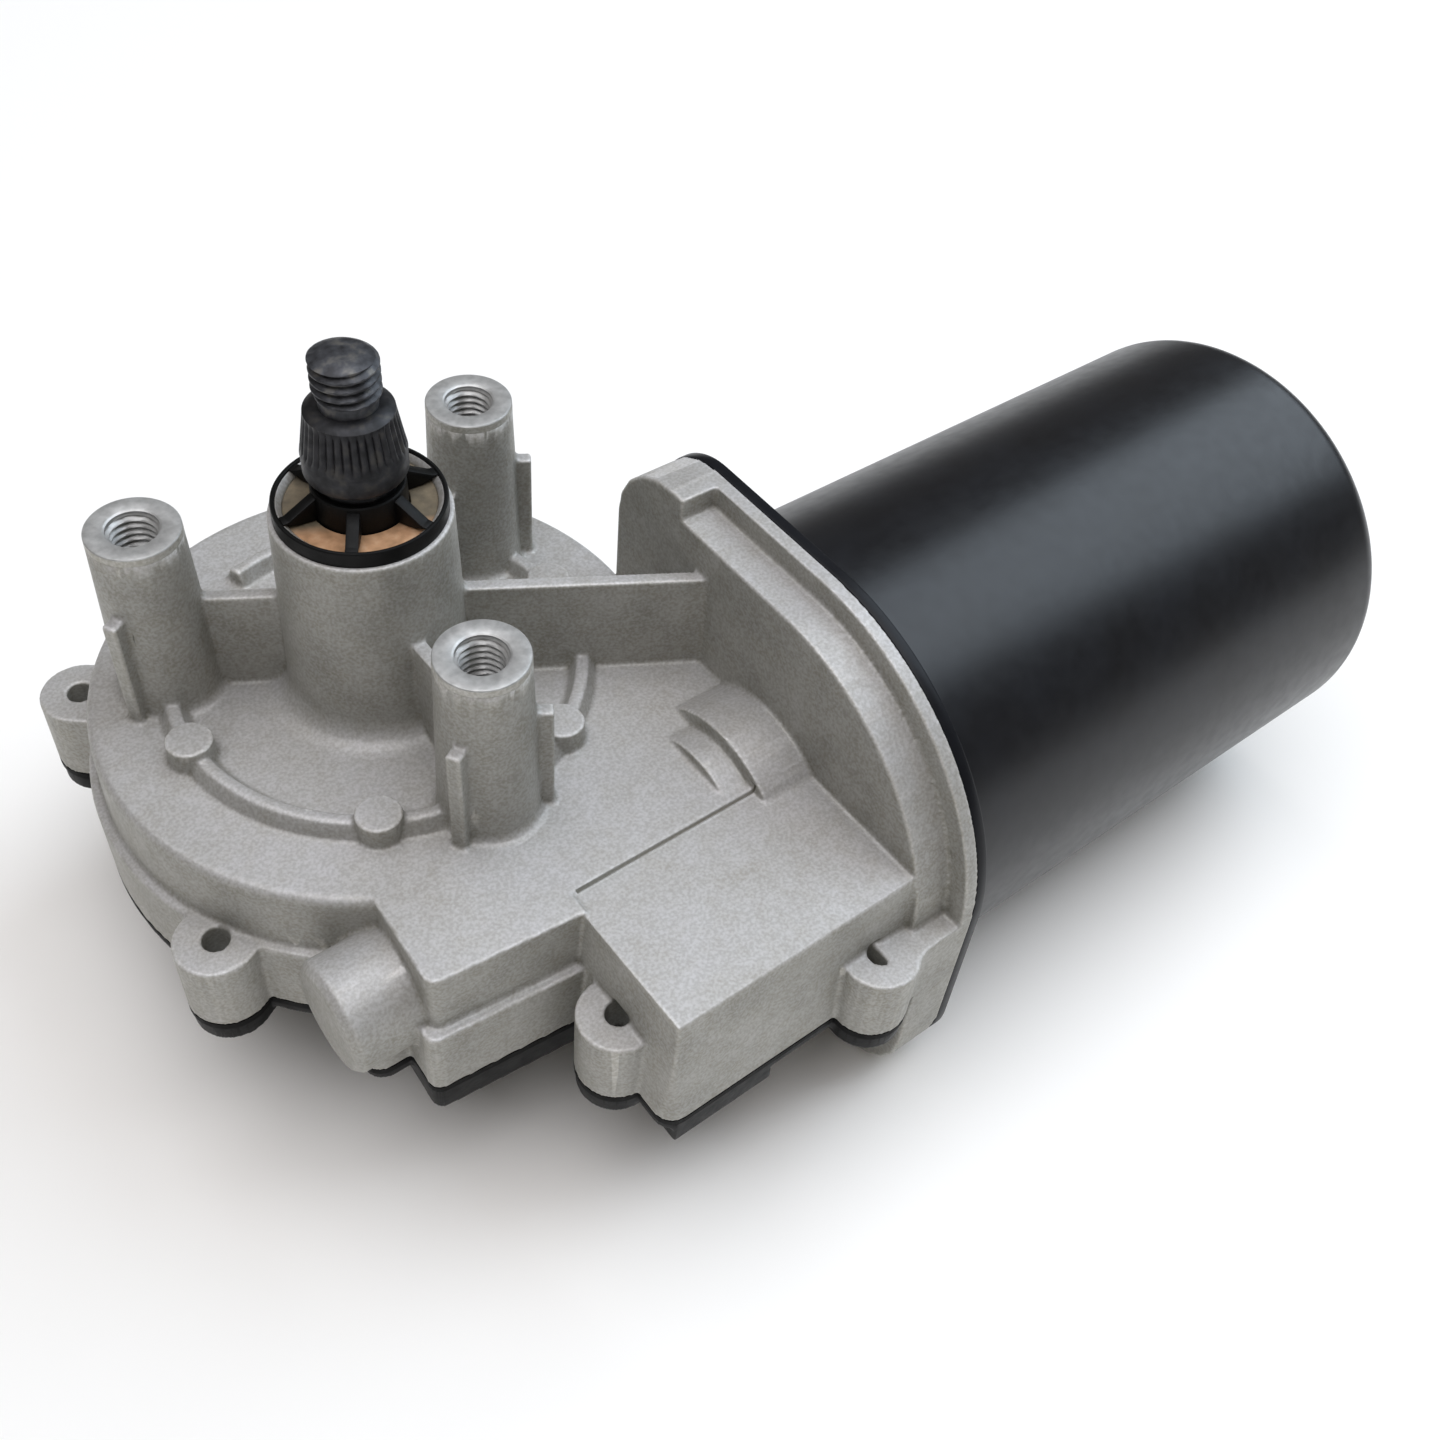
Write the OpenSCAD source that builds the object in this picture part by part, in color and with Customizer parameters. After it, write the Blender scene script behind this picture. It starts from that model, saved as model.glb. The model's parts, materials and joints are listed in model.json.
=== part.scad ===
// Wiper motor: a permanent magnet motor turns an output shaft through a worm and a worm wheel.
// The origin is on the output shaft's axis, level with the tops of the three mounting pillars.
// +Z runs up the output shaft, and +X runs along the motor towards its steel can.

/* [Cast case] */
// Height of the mounting pillars above the deck
pillar_h = 33.3; // [31:0.1:38]
// Depth of the case from the deck down to the cover joint
case_h = 26.8; // [26.4:0.1:30]
// Thickness of the deck
deck_t = 3; // [2.5:0.1:3.6]
// Wall of the round gear chamber at the deck
chamber_wall = 3.95; // [3:0.05:5]
// Free space round the worm wheel
wheel_gap = 2; // [1.5:0.1:3]
// How far the chamber wall leans out from the deck to the ledge
chamber_draft = 0.3; // [0.1:0.1:1]
// Rounding of the chamber's top edge
deck_edge_r = 1.5; // [0.5:0.1:2.5]

/* [Pillars] */
// Distance of the pillars from the shaft axis
pillar_ring_r = 33.6; // [31:0.1:36]
// Radius of a pillar at its top
pillar_top_r = 7.15; // [6:0.05:8]
// Radius of a pillar at the deck
pillar_base_r = 8.15; // [8.05:0.05:9.5]
// Radius of the tapped hole in a pillar
bolt_hole_r = 3.4; // [2.5:0.05:4]
// Depth of the tapped hole
bolt_hole_depth = 26; // [15:0.5:28]
// Radius of the countersink at a tapped hole's mouth
bolt_sink_r = 3.7; // [3.6:0.05:3.8]
// Thickness of the upright fins on the pillars
fin_t = 2.4; // [1.5:0.1:3.5]
// How far a fin stands out from its pillar
fin_out = 2; // [1:0.1:3]
// Distance from a pillar's top down to its fins
fin_drop = 12.3; // [8:0.1:20]
// Radius of the fillet at a pillar's foot
pillar_foot_r = 1.6; // [0.5:0.1:3]

/* [Shaft boss] */
// Height of the shaft boss above the deck
boss_h = 35.8; // [33:0.1:42]
// Radius of the boss at its top
boss_top_r = 13.9; // [13.4:0.1:15]
// Radius of the boss at the deck
boss_base_r = 14.9; // [14.4:0.1:17]
// Radius of the fillet at the boss's foot
boss_foot_r = 4.5; // [2:0.5:6]
// Radius of the recess in the boss's top
recess_r = 11.8; // [11:0.1:12.2]
// Depth of that recess
recess_depth = 5.2; // [4:0.1:8]
// Length of the short boss under the deck
inner_boss_h = 3.4; // [2:0.1:4]
// Radius of the short boss under the deck
inner_boss_r = 11; // [10:0.1:13]

/* [Deck ribs] */
// Height of the radial walls above the deck
web_h = 19; // [14:0.1:22]
// Thickness of the radial walls
web_t = 2.3; // [1.8:0.1:3.5]
// Width of the ring rib at the deck
ring_rib_w = 4.6; // [3:0.1:6]
// Width of the ring rib along its top
ring_rib_top_w = 2.4; // [1.5:0.1:2.8]
// Height of the ring rib
ring_rib_h = 2.8; // [1.5:0.1:3.6]
// Radius of the round pads on the ring rib
rib_pad_r = 3.7; // [3:0.1:5]
// Height of the round pads
rib_pad_h = 4.2; // [3:0.1:5]

/* [Worm side of the case] */
// Left edge of the section beside the worm
section_x = 24.5; // [22:0.1:27]
// Front edge of that section at the deck
section_front = 11.1; // [11:0.1:13]
// Skew of the section's front edge, in mm over its length
section_skew = 2.4; // [0:0.1:4]
// Width of the ledge round the chamber and along the section's front
ledge_w = 1.8; // [0.5:0.1:3]
// Depth below the deck of that ledge and of the tops of the cover lugs
ledge_drop = 12.5; // [11:0.1:15]
// Radius of the upright corners of the case
corner_r = 2; // [0.5:0.1:3]
// Radius of the nose that holds the worm's end bearing
nose_r = 9.5; // [9.2:0.1:11]
// Distance from the shaft axis to the nose's end face
nose_x = 37; // [36.5:0.1:42]
// Bevel of the nose's end face
nose_bevel = 1.2; // [0.5:0.1:2]
// How far the foot under the nose stays back from its end face
nose_foot_in = 3.5; // [2:0.1:5]
// Width of that foot on each side of the motor axis
nose_foot_w = 5.3; // [4:0.1:8]
// Depth of the motor axis below the deck
motor_drop = 13.5; // [13:0.1:13.9]

/* [Electrics box] */
// How much lower the box top is than the deck
box_step = 0.5; // [0.2:0.1:1.5]
// Distance from the shaft axis to the box's back edge
box_back = 55.5; // [54.5:0.1:57]
// Length of the box top from its back edge to its front edge
box_len = 28; // [26:0.1:32]
// How far the front and left walls lean out towards the joint
box_draft = 1.6; // [0.5:0.1:2.5]
// Wall of the electrics box
box_wall = 3; // [2:0.1:3.4]
// Rounding of the box's front left corner
box_corner_r = 3.5; // [2:0.1:5]

/* [Cover lugs] */
// Radius of the lugs that take the cover screws
lug_r = 6.7; // [6:0.1:7.2]
// Radius of the screw holes in the lugs
lug_hole_r = 2.2; // [2.05:0.05:2.4]
// Distance of the side lug from the box's front edge
side_lug_in = 12.8; // [10:0.1:15]
// How far the side lug's hole stands out from the box's left edge
side_lug_out = 1; // [0.5:0.1:3]
// Distance of the front lug's hole from the level of the flange's rim
front_lug_in = 4; // [3:0.1:5]
// Distance of the front lug's hole from the motor flange
front_lug_side = 6.9; // [5:0.1:8]

/* [Motor flange] */
// Distance from the shaft axis to the flange's front face
flange_x = 46.1; // [46:0.1:50]
// Thickness of the flange's thick middle
flange_t = 7; // [6.8:0.1:9]
// Thickness of the rim behind it
rim_t = 2.5; // [2:0.1:4]
// How far the rim stands out past the can
rim_out = 2.7; // [1.8:0.1:4]
// How far the flange's middle steps in from the rim
middle_in = 4; // [3:0.1:4.5]
// Rounding of the two screw ears
ear_corner_r = 14; // [10:0.5:16]
// Distance of an ear's hole from the two edges of its ear
ear_hole_in = 10; // [9:0.1:10.8]
// Width of the screw ears
ear_w = 17.2; // [15:0.1:20]
// Radius of the tapped holes in the ears
ear_hole_r = 2.5; // [2:0.1:3]
// Radius of the larger step of the bearing bump
bump_r = 18; // [15.6:0.1:19]
// Length of the larger step
bump_len = 10; // [8:0.1:12]
// Radius of the smaller step of the bearing bump
bump_small_r = 15.4; // [13.8:0.1:15.5]
// Length of the smaller step
bump_small_len = 5; // [3:0.1:6]

/* [Gear pair] */
// Axial module of worm and wheel
gear_module = 1.25; // [1.24:0.005:1.26]
// Number of teeth on the wheel
wheel_teeth = 64; // [63:1:64]
// Pitch radius of the worm
worm_pitch_r = 6.25; // [6.1:0.05:6.3]
// Share of the pitch that a tooth or thread fills
tooth_share = 0.4; // [0.36:0.01:0.42]
// Length of the worm
worm_len = 26; // [20:0.5:28]
// Width of the wheel's toothed rim
wheel_w = 9; // [7:0.1:10]
// Inner radius of the toothed rim
rim_bore_r = 33; // [30:0.1:34]
// Thickness of the wheel's metal hub plate
hub_plate_t = 5; // [3:0.1:6]
// Radius of the hub's raised middle
hub_r = 10; // [9:0.1:10.6]

/* [Output shaft] */
// Radius of the shaft's journal
shaft_r = 6; // [5.8:0.05:6.2]
// Height of the shaft's tip above the pillar tops
shaft_tip = 30.7; // [29:0.1:36]
// Radius of the crank thread
thread_r = 5; // [4.5:0.1:5.2]
// Length of the crank thread
thread_len = 8; // [6:0.1:9]
// Large radius of the knurled taper
taper_r = 7.75; // [7:0.05:8.5]
// Small radius of the knurled taper
taper_top_r = 6.6; // [6:0.05:6.9]
// Length of the knurled taper
taper_len = 6.9; // [5:0.1:8]
// Length of the plain collar below the taper
collar_len = 4.3; // [2:0.1:5]
// Outer radius of the shaft bushes
bush_r = 8; // [7.4:0.05:8.6]
// Length of each shaft bush
bush_len = 13; // [9:0.5:15]

/* [Boss cap] */
// Outer radius of the cap's ring
cap_r = 13.2; // [12.7:0.05:13.3]
// Inner radius of the cap's ring
cap_in_r = 11.3; // [10.4:0.05:11.5]
// Height of the cap's ring above the boss
cap_h = 2.7; // [1.5:0.1:4]
// Radius of the cap's hub
cap_hub_r = 7.2; // [6.9:0.05:7.4]
// Width of the cap's spokes
spoke_w = 2; // [1:0.1:3]
// Direction of the first spoke
spoke_angle = 55; // [0:1:59]

/* [Motor can] */
// Outer radius of the can
can_r = 40.8; // [40.4:0.1:41.4]
// Length of the can
can_len = 108.7; // [106:0.1:116]
// Wall of the can
can_wall = 1.8; // [1.2:0.1:2]
// Thickness of the can's flange plate
can_flange_t = 2.2; // [1.6:0.1:3]
// Rounding of the can's closed end
can_edge_r = 5; // [3:0.5:7]
// How far the rear bearing cup stands out
cup_out = 4.5; // [3.5:0.1:6]
// Thickness of the magnets
magnet_t = 6.6; // [5.5:0.1:6.8]
// Length of the magnets
magnet_len = 56; // [45:0.5:60]
// Angle that each magnet spans
magnet_span = 124; // [100:1:136]

/* [Armature] */
// Radius of the armature shaft
rotor_shaft_r = 4; // [3.8:0.05:4.1]
// Air gap between the armature core and the magnets
air_gap = 0.8; // [0.5:0.05:1.2]
// Length of the laminated core
core_len = 48; // [36:0.5:52]
// Distance from the can's flange to the core
core_start = 28; // [27:0.5:32]
// Number of slots in the core and bars on the commutator
slots = 12; // [8:1:14]
// Radius of the commutator
commutator_r = 13; // [11:0.1:13.5]
// Length of the commutator
commutator_len = 16; // [14:0.5:18]

/* [Cover] */
// Thickness of the cover gasket
gasket_t = 1.2; // [0.8:0.1:1.5]
// Thickness of the cover's edge
cover_t = 2.2; // [1.6:0.1:2.6]
// Thickness of the cover's lugs
cover_lug_t = 3.6; // [2.8:0.1:4]
// Full depth of the cover's pan
pan_h = 5.7; // [4.5:0.1:7]
// How far the pan under the chamber stays back from the edge
pan_back = 3.5; // [2:0.1:5]
// How far the cover's edge stays back from the case
cover_inset = 0.3; // [0.1:0.1:1]
// Width of the connector block
plug_w = 19.6; // [18.5:0.1:22]
// Depth of the connector block, front to back
plug_d = 18; // [16:0.1:19]
// Height of the connector block below the gasket
plug_h = 5.7; // [5.2:0.1:9]
// Depth of the connector's socket
socket_depth = 12; // [11:0.1:14]

/* [Hidden] */
$fn = 64;

cast_grey = [0.72, 0.72, 0.71];
black_paint = [0.10, 0.10, 0.11];
black_plastic = [0.13, 0.13, 0.13];
bronze = [0.66, 0.47, 0.28];
steel = [0.55, 0.56, 0.58];
dark_steel = [0.20, 0.20, 0.21];
zinc = [0.70, 0.71, 0.72];
copper = [0.72, 0.42, 0.25];
brass = [0.75, 0.62, 0.32];
nylon = [0.85, 0.84, 0.78];

// Running clearance of a shaft in its bush, and the small gap left where seats meet
run_gap = 0.03;
seat_gap = 0.02;

// Levels, from the pillar tops down
deck_z = -pillar_h;
floor_z = deck_z - case_h;
roof_z = deck_z - deck_t;
boss_z = deck_z + boss_h;
recess_z = boss_z - recess_depth;
box_z = deck_z - box_step;
gasket_z = floor_z - gasket_t;

// The worm wheel and the motor axis
wheel_pitch_r = gear_module * wheel_teeth / 2;
wheel_tip_r = wheel_pitch_r + gear_module;
wheel_root_r = wheel_pitch_r - 1.2 * gear_module;
worm_lead = PI * gear_module;
worm_tip_r = worm_pitch_r + gear_module;
flank_tan = tan(20);
motor_y = -(wheel_pitch_r + worm_pitch_r);
motor_z = deck_z - motor_drop;
chamber_in_r = wheel_tip_r + wheel_gap;
chamber_r = chamber_in_r + chamber_wall;
chamber_foot_r = chamber_r + chamber_draft + ledge_w;

// Plan of the case
section_y = motor_y - section_front;
section_lean = 0.8;
section_back = -30;
section_end = 0.5;
nose_root = 8;
nose_foot_r = 3.5;
lug_reach = lug_r + 4;
box_y = -box_back;
box_front = box_y - box_len;
ledge_z = deck_z - ledge_drop;
rim_x = flange_x + flange_t;
joint_x = rim_x + rim_t;
can_x = joint_x + can_flange_t;
can_end = can_x + can_len;
can_in_r = can_r - can_wall;
rim_r = can_r + rim_out;
flange_r = rim_r - middle_in;
pillar_angles = [150, 270, 30];
pad_angles = [180, 240, 300, 0];

// Cover lugs: centre and the direction in which each joins the case
chamber_lugs = [[139.3, 3.8], [209.1, 1], [55, 4.2]];
lugs = concat(
    [for (g = chamber_lugs) concat((chamber_foot_r + g[1]) * [cos(g[0]), sin(g[0])], g[0] + 180)],
    [
        [-side_lug_out, box_front + side_lug_in, 0],
        [flange_x - front_lug_side, motor_y - rim_r + front_lug_in, 90]
    ]
);
cover_screw_r = 2;
screw_head_r = 3.6;
screw_head_t = 2;
screw_reach = 12;

// Bearings on the motor axis
channel_r = worm_tip_r + 1.5;
nose_bush_r = 6.8;
nose_bush_len = 10;
nose_bush_x = -nose_x + 6.2;
pad_t = 1.5;
pad_r = 4.4;
pad_x = nose_bush_x - 3.4;
ball_r = 2;
ball_x = pad_x + pad_t + run_gap + ball_r;
bush_ball_r = 8;
bush_half = 4.5;
centre_bush_x = flange_x - 3.6;
seat_x = centre_bush_x - bush_half - 0.2;
cup_bore_r = bush_ball_r + seat_gap;
rear_bush_x = can_end - can_wall - 0.7;
rotor_x0 = ball_x + 0.4;
rotor_x1 = rear_bush_x + bush_half - 0.2;
retainer_t = 0.8;
retainer_r = 11;
retainer_x = centre_bush_x + bush_half;
clip_r = 16;
clip_bend_r = 11;
clip_tip_r = 7.6;
clip_reach = 3.5;

// Seats and holes in the motor flange
flange_cup_r = flange_r - 3.5;
flange_cup_x = flange_x + 3.9;
ear_c = rim_r - ear_hole_in;
ear_top = ledge_z - motor_z;
seal_r = (can_in_r + rim_r) / 2;
seal_w = 1.8;
seal_groove = 1.4;
ear_front_in = 3;
flange_screw_x = flange_x + ear_front_in;
flange_head_r = 4.6;
flange_head_t = 4;

// Magnets and core
magnet_x = can_x + core_start + core_len / 2 - magnet_len / 2;
magnet_out_r = can_in_r - 0.1;
magnet_in_r = magnet_out_r - magnet_t;
magnet_clip_in = 6;
core_r = magnet_in_r - air_gap;
core_x = can_x + core_start;
slot_in = 8.5;
slot_c = core_r - slot_in;
slot_r = min(4.6, slot_c * sin(180 / slots) - 1.2);
slot_mouth = 2.4;
coil_end = 7;

// Brush gear
brush_plate_t = 2.4;
brush_plate_x = joint_x - 0.6 - brush_plate_t;
brush_plate_r = flange_cup_r - 0.2;
brush_plate_hole_r = 18;
plate_face_x = brush_plate_x + brush_plate_t;
brush_angles = [90, 210, 330];
brush_w = 5;
brush_t = 6;
commutator_x = can_x + 3;
brush_x = commutator_x + 5;
holder_wall = 1.2;
holder_in = commutator_r + 2;
holder_out = commutator_r + 17;
brush_back = commutator_r + 10;
plate_screw_angles = [30, 150, 270];
plate_screw_in = 4.8;
plate_screw_ring = brush_plate_r - plate_screw_in;
plate_screw_r = 1.4;
plate_screw_len = 3.5;
plate_post_r = 3.4;
choke_angles = [248, 292];
choke_in = 9.8;
choke_ring = brush_plate_r - choke_in;
choke_r = 3;

// Cover, connector and the parking switch
pan_edge = 0.3;
plug_x = 0.4;
plug_y = box_front - box_draft + cover_inset;
plug_z = gasket_z - plug_h;
socket_wall = 1.6;
socket_top = plug_z + socket_depth;
socket_x = box_wall + 0.6 + socket_wall;
socket_w = plug_x + plug_w - socket_wall - socket_x;
socket_y = box_front + box_wall + 0.6 + socket_wall;
socket_d = plug_y + plug_d - socket_wall - socket_y;
pin_w = 2.8;
pin_t = 0.8;
pin_sink = 4.4;
pin_top = socket_top + socket_wall + 4;
pin_row_y = socket_y + socket_d * 0.72;
pin_xs = [for (i = [0:2]) socket_x + socket_w * (i + 0.5) / 3];
pin_places = concat(
    [for (x = pin_xs) [x, pin_row_y]],
    [for (i = [0, 2]) [pin_xs[i], socket_y + socket_d * 0.28]]
);
finger_rings = [17, 22, 27];
finger_w = 2;
finger_t = 0.4;
carrier_x = 14;
carrier_len = 10;
carrier_edge = 4;
carrier_w = finger_rings[2] - finger_rings[0] + 2 * carrier_edge;
carrier_z = gasket_z - pan_h + cover_t;

// Leads from the connector's first row of pins, through a grommet, to the brush plate
lead_r = 0.9;
lead_pitch = 2.4;
lead_bend = 2.5;
lead_y = pin_row_y;
lead_z = motor_z + 4;
grommet_r = 4.2;
grommet_lip = 1;
grommet_lip_t = 1.2;

// Wheel and output shaft
hub_top = roof_z - inner_boss_h - 0.8;
hub_plate_z = motor_z - hub_plate_t / 2;
wheel_z = motor_z - wheel_w / 2;
hub_foot = hub_plate_z - 2;
wheel_twist = wheel_w * worm_lead / (2 * PI * worm_pitch_r) / wheel_pitch_r * 180 / PI;
ring_t = 1;
shaft_foot = hub_foot - ring_t - 1.2;
thread_z = shaft_tip - thread_len;
taper_z = thread_z - 1.5 - taper_len;
collar_z = taper_z - collar_len;
disc_t = 0.6;
disc_z = hub_plate_z - disc_t;
finger_z = disc_z - 6;
carrier_top = finger_z + finger_t + 1.4;
washer_t = 1.4;
cap_skirt = 1.5;

// Points of an arc about a centre
function arc(cx, cy, r, a0, a1, n = 5) = [
    for (i = [0:n]) let (a = a0 + (a1 - a0) * i / n) [cx + r * cos(a), cy + r * sin(a)]
];

function unit(v) = v / norm(v);

// Points of one rounded corner p between its neighbours a and b
function corner(a, p, b, r, n) =
    let (u = unit(a - p), v = unit(b - p), half = acos(u * v) / 2, turn = 180 - 2 * half)
    let (c = p + unit(u + v) * r / sin(half), d0 = (p + u * r / tan(half) - c) / r)
    let (d1 = (p + v * r / tan(half) - c) / r)
    [for (i = [0:n]) c + r * (sin(turn * (1 - i / n)) * d0 + sin(turn * i / n) * d1) / sin(turn)];

// A polygon with every corner rounded to radius r
function rounded(pts, r, n = 4) =
    [for (i = [0:len(pts) - 1])
        each corner(pts[(i + len(pts) - 1) % len(pts)], pts[i], pts[(i + 1) % len(pts)], r, n)];

// Hollow foot between a flat and a round post of radius r
function foot(r, z, f, n = 5) = [
    for (i = [0:n]) [r + f - f * sin(90 * i / n), z + f - f * cos(90 * i / n)]
];

// Moves a child from its own XY plane to the motor axis, with its Z along +X
module along_motor(x) {
    translate([x, motor_y, motor_z]) rotate([90, 0, 90]) children();
}

// A ring of the motor's axis between two places along X
module motor_ring(x0, x1, r_out, r_in) {
    along_motor(x0) difference() {
        cylinder(h = x1 - x0, r = r_out);
        translate([0, 0, -1]) cylinder(h = x1 - x0 + 2, r = r_in);
    }
}

module post(z0, z1, r) {
    translate([0, 0, z0]) cylinder(h = z1 - z0, r = r);
}

module ring(z0, z1, r_out, r_in) {
    difference() {
        post(z0, z1, r_out);
        post(z0 - 1, z1 + 1, r_in);
    }
}

module slab(z0, z1) {
    translate([0, 0, z0]) linear_extrude(height = z1 - z0) children();
}

module at_pillar(a) {
    translate([pillar_ring_r * cos(a), pillar_ring_r * sin(a), 0]) children();
}

// A flat sector from the centre out to radius r
module sector(r, a0, a1) {
    polygon(concat([[0, 0]], arc(0, 0, r * 1.3, a0, a1, 6)));
}

// Flat outlines of the case in plan

// The section beside the worm, with its edges moved out from those of the deck
module section_plan(out) {
    left = -section_x - out;
    front = section_y - out;
    polygon([
        [left + section_lean, section_back],
        each corner([left + section_lean, section_back], [left - section_lean, front],
            [0, front - section_skew], corner_r, 4),
        [section_end, front - section_skew], [section_end, section_back]
    ]);
}

module deck_plan() {
    section_plan(0);
    translate([0, box_y]) square([flange_x, -box_y]);
}

module box_plan(out) {
    front = box_front - out;
    polygon([
        each corner([-out, box_y], [-out, front], [flange_x, front], box_corner_r, 5),
        [flange_x, front], [flange_x, box_y + 1], [-out, box_y + 1]
    ]);
}

// The foot under the nose
module nose_plan(inset) {
    left = nose_foot_in - nose_x + inset;
    front = motor_y - nose_foot_w + inset;
    back = motor_y + nose_foot_w - inset;
    polygon(concat(
        arc(left + nose_foot_r, back - nose_foot_r, nose_foot_r, 90, 180),
        arc(left + nose_foot_r, front + nose_foot_r, nose_foot_r, 180, 270),
        [[nose_root - section_x, front], [nose_root - section_x, back]]
    ));
}

module lug_plan(g, inset) {
    translate([g[0], g[1]]) rotate(g[2]) {
        circle(r = lug_r - inset);
        translate([0, inset - lug_r]) square([lug_reach, 2 * (lug_r - inset)]);
    }
}

// The case's outline at the cover joint, drawn in by a margin
module joint_plan(inset) {
    intersection() {
        union() {
            circle(r = chamber_foot_r - inset);
            section_plan(ledge_w - inset);
            box_plan(box_draft - inset);
            nose_plan(inset);
            translate([0, box_y]) square([flange_x, -box_y]);
            for (g = lugs) {
                lug_plan(g, inset);
            }
        }
        translate([-2 * chamber_r, 2 * box_front])
            square([2 * chamber_r + flange_x - inset, -4 * box_front]);
    }
}

// The cast case

module case_body() {
    ledge_edge = 0.6;
    rotate_extrude() polygon(concat(
        [[0, floor_z], [chamber_foot_r, floor_z]],
        arc(chamber_foot_r - ledge_edge, ledge_z - ledge_edge, ledge_edge, 0, 90, 3),
        [[chamber_r + chamber_draft, ledge_z]],
        arc(chamber_r - deck_edge_r, deck_z - deck_edge_r, deck_edge_r, 0, 90),
        [[0, deck_z]]
    ));
    slab(floor_z, deck_z) deck_plan();
    slab(floor_z, ledge_z) section_plan(ledge_w);
    electrics_box();
    nose();
    for (g = lugs) {
        slab(floor_z, ledge_z) lug_plan(g, 0);
    }
}

// The round nose at the worm's end, on its small foot
module nose() {
    length = nose_x - section_x + nose_root;
    slab(floor_z, motor_z) nose_plan(0);
    along_motor(-nose_x) rotate_extrude() polygon([
        [0, 0], [nose_r - nose_bevel, 0], [nose_r, nose_bevel], [nose_r, length], [0, length]
    ]);
}

// The box is the part common to two tapered bars
module electrics_box() {
    intersection() {
        slab(floor_z, box_z) box_plan(box_draft);
        rotate([90, 0, 90]) linear_extrude(height = 2 * flange_x, center = true) polygon([
            [box_front - box_draft, floor_z], [0, floor_z], [0, box_z], [box_front, box_z]
        ]);
        translate([0, box_y + 1, 0]) rotate([90, 0, 0]) linear_extrude(height = 2 * box_len) polygon([
            [-box_draft, floor_z], [flange_x, floor_z], [flange_x, box_z], [0, box_z]
        ]);
    }
}

module pillar() {
    rotate_extrude() polygon(concat(
        [[0, deck_z - 1], [pillar_base_r + pillar_foot_r, deck_z - 1]],
        foot(pillar_base_r, deck_z, pillar_foot_r),
        [[pillar_top_r, 0], [0, 0]]
    ));
}

// Upright fins, on the sides of each pillar that carry no wall
module pillar_fins(a) {
    for (side = [-60, 60]) {
        rotate(a + side) translate([0, -fin_t / 2, deck_z - 1])
            cube([pillar_base_r + fin_out, fin_t, pillar_h + 1 - fin_drop]);
    }
}

module shaft_boss() {
    rotate_extrude() polygon(concat(
        [[0, deck_z - 1], [boss_base_r + boss_foot_r, deck_z - 1]],
        foot(boss_base_r, deck_z, boss_foot_r),
        [[boss_top_r, boss_z], [0, boss_z]]
    ));
    post(roof_z - inner_boss_h, deck_z, inner_boss_r);
}

// Walls from the boss to each pillar, and one on to the motor flange
module radial_walls() {
    for (a = pillar_angles) {
        rotate(a) translate([0, -web_t / 2, deck_z - 1]) cube([pillar_ring_r, web_t, web_h + 1]);
    }
    rotate(-30) translate([0, -web_t / 2, deck_z - 1])
        cube([(flange_x + 1) / cos(30), web_t, web_h + 1]);
}

module ring_rib() {
    foot_w = ring_rib_w / 2;
    top_w = ring_rib_top_w / 2;
    edge = 0.7;
    intersection() {
        rotate_extrude() translate([pillar_ring_r, deck_z]) polygon(concat(
            [[-foot_w, -1], [foot_w, -1], [foot_w, 0]],
            arc(top_w - edge, ring_rib_h - edge, edge, 15, 90, 3),
            arc(edge - top_w, ring_rib_h - edge, edge, 90, 165, 3),
            [[-foot_w, 0]]
        ));
        slab(deck_z - 1, deck_z + ring_rib_h + 1) difference() {
            circle(r = pillar_ring_r + ring_rib_w);
            sector(pillar_ring_r + ring_rib_w, -29, -1);
            sector(pillar_ring_r + ring_rib_w, 31, 60);
            sector(pillar_ring_r + ring_rib_w, 108, 149);
        }
    }
    for (a = pad_angles) {
        at_pillar(a) post(deck_z - 1, deck_z + rib_pad_h, rib_pad_r);
    }
}

// Outline of the flange with its two opposite ears, in the plane across the motor axis
module flange_outline(r) {
    circle(r = r);
    for (side = [0, 180]) {
        rotate(side) polygon(concat([[0, 0], [r, 0]],
            arc(r - ear_corner_r, r - ear_corner_r, ear_corner_r, 0, 90), [[0, r]]));
    }
}

module ear_outline() {
    intersection() {
        flange_outline(rim_r);
        for (side = [0, 180]) {
            rotate(side) translate([rim_r - ear_w, -ear_top]) square([ear_w + 1, rim_r + 2 * ear_top]);
        }
    }
}

module motor_flange() {
    along_motor(flange_x) {
        linear_extrude(height = flange_t) {
            circle(r = flange_r);
            for (side = [0, 180]) {
                rotate(side) square([rim_r - ear_w + 1, flange_r]);
            }
        }
        linear_extrude(height = flange_t + 0.5) ear_outline();
    }
    along_motor(rim_x) linear_extrude(height = rim_t) flange_outline(rim_r);
    bearing_bump();
}

// The stepped bump over the centre bearing, cut off level with the cover joint
module bearing_bump() {
    difference() {
        union() {
            along_motor(flange_x - bump_len) cylinder(h = bump_len + 1, r = bump_r);
            along_motor(flange_x - bump_len - bump_small_len)
                cylinder(h = bump_small_len + 1, r = bump_small_r);
        }
        translate([0, motor_y - bump_r - 1, floor_z - bump_r])
            cube([flange_x, 2 * bump_r + 2, bump_r]);
    }
}

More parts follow.
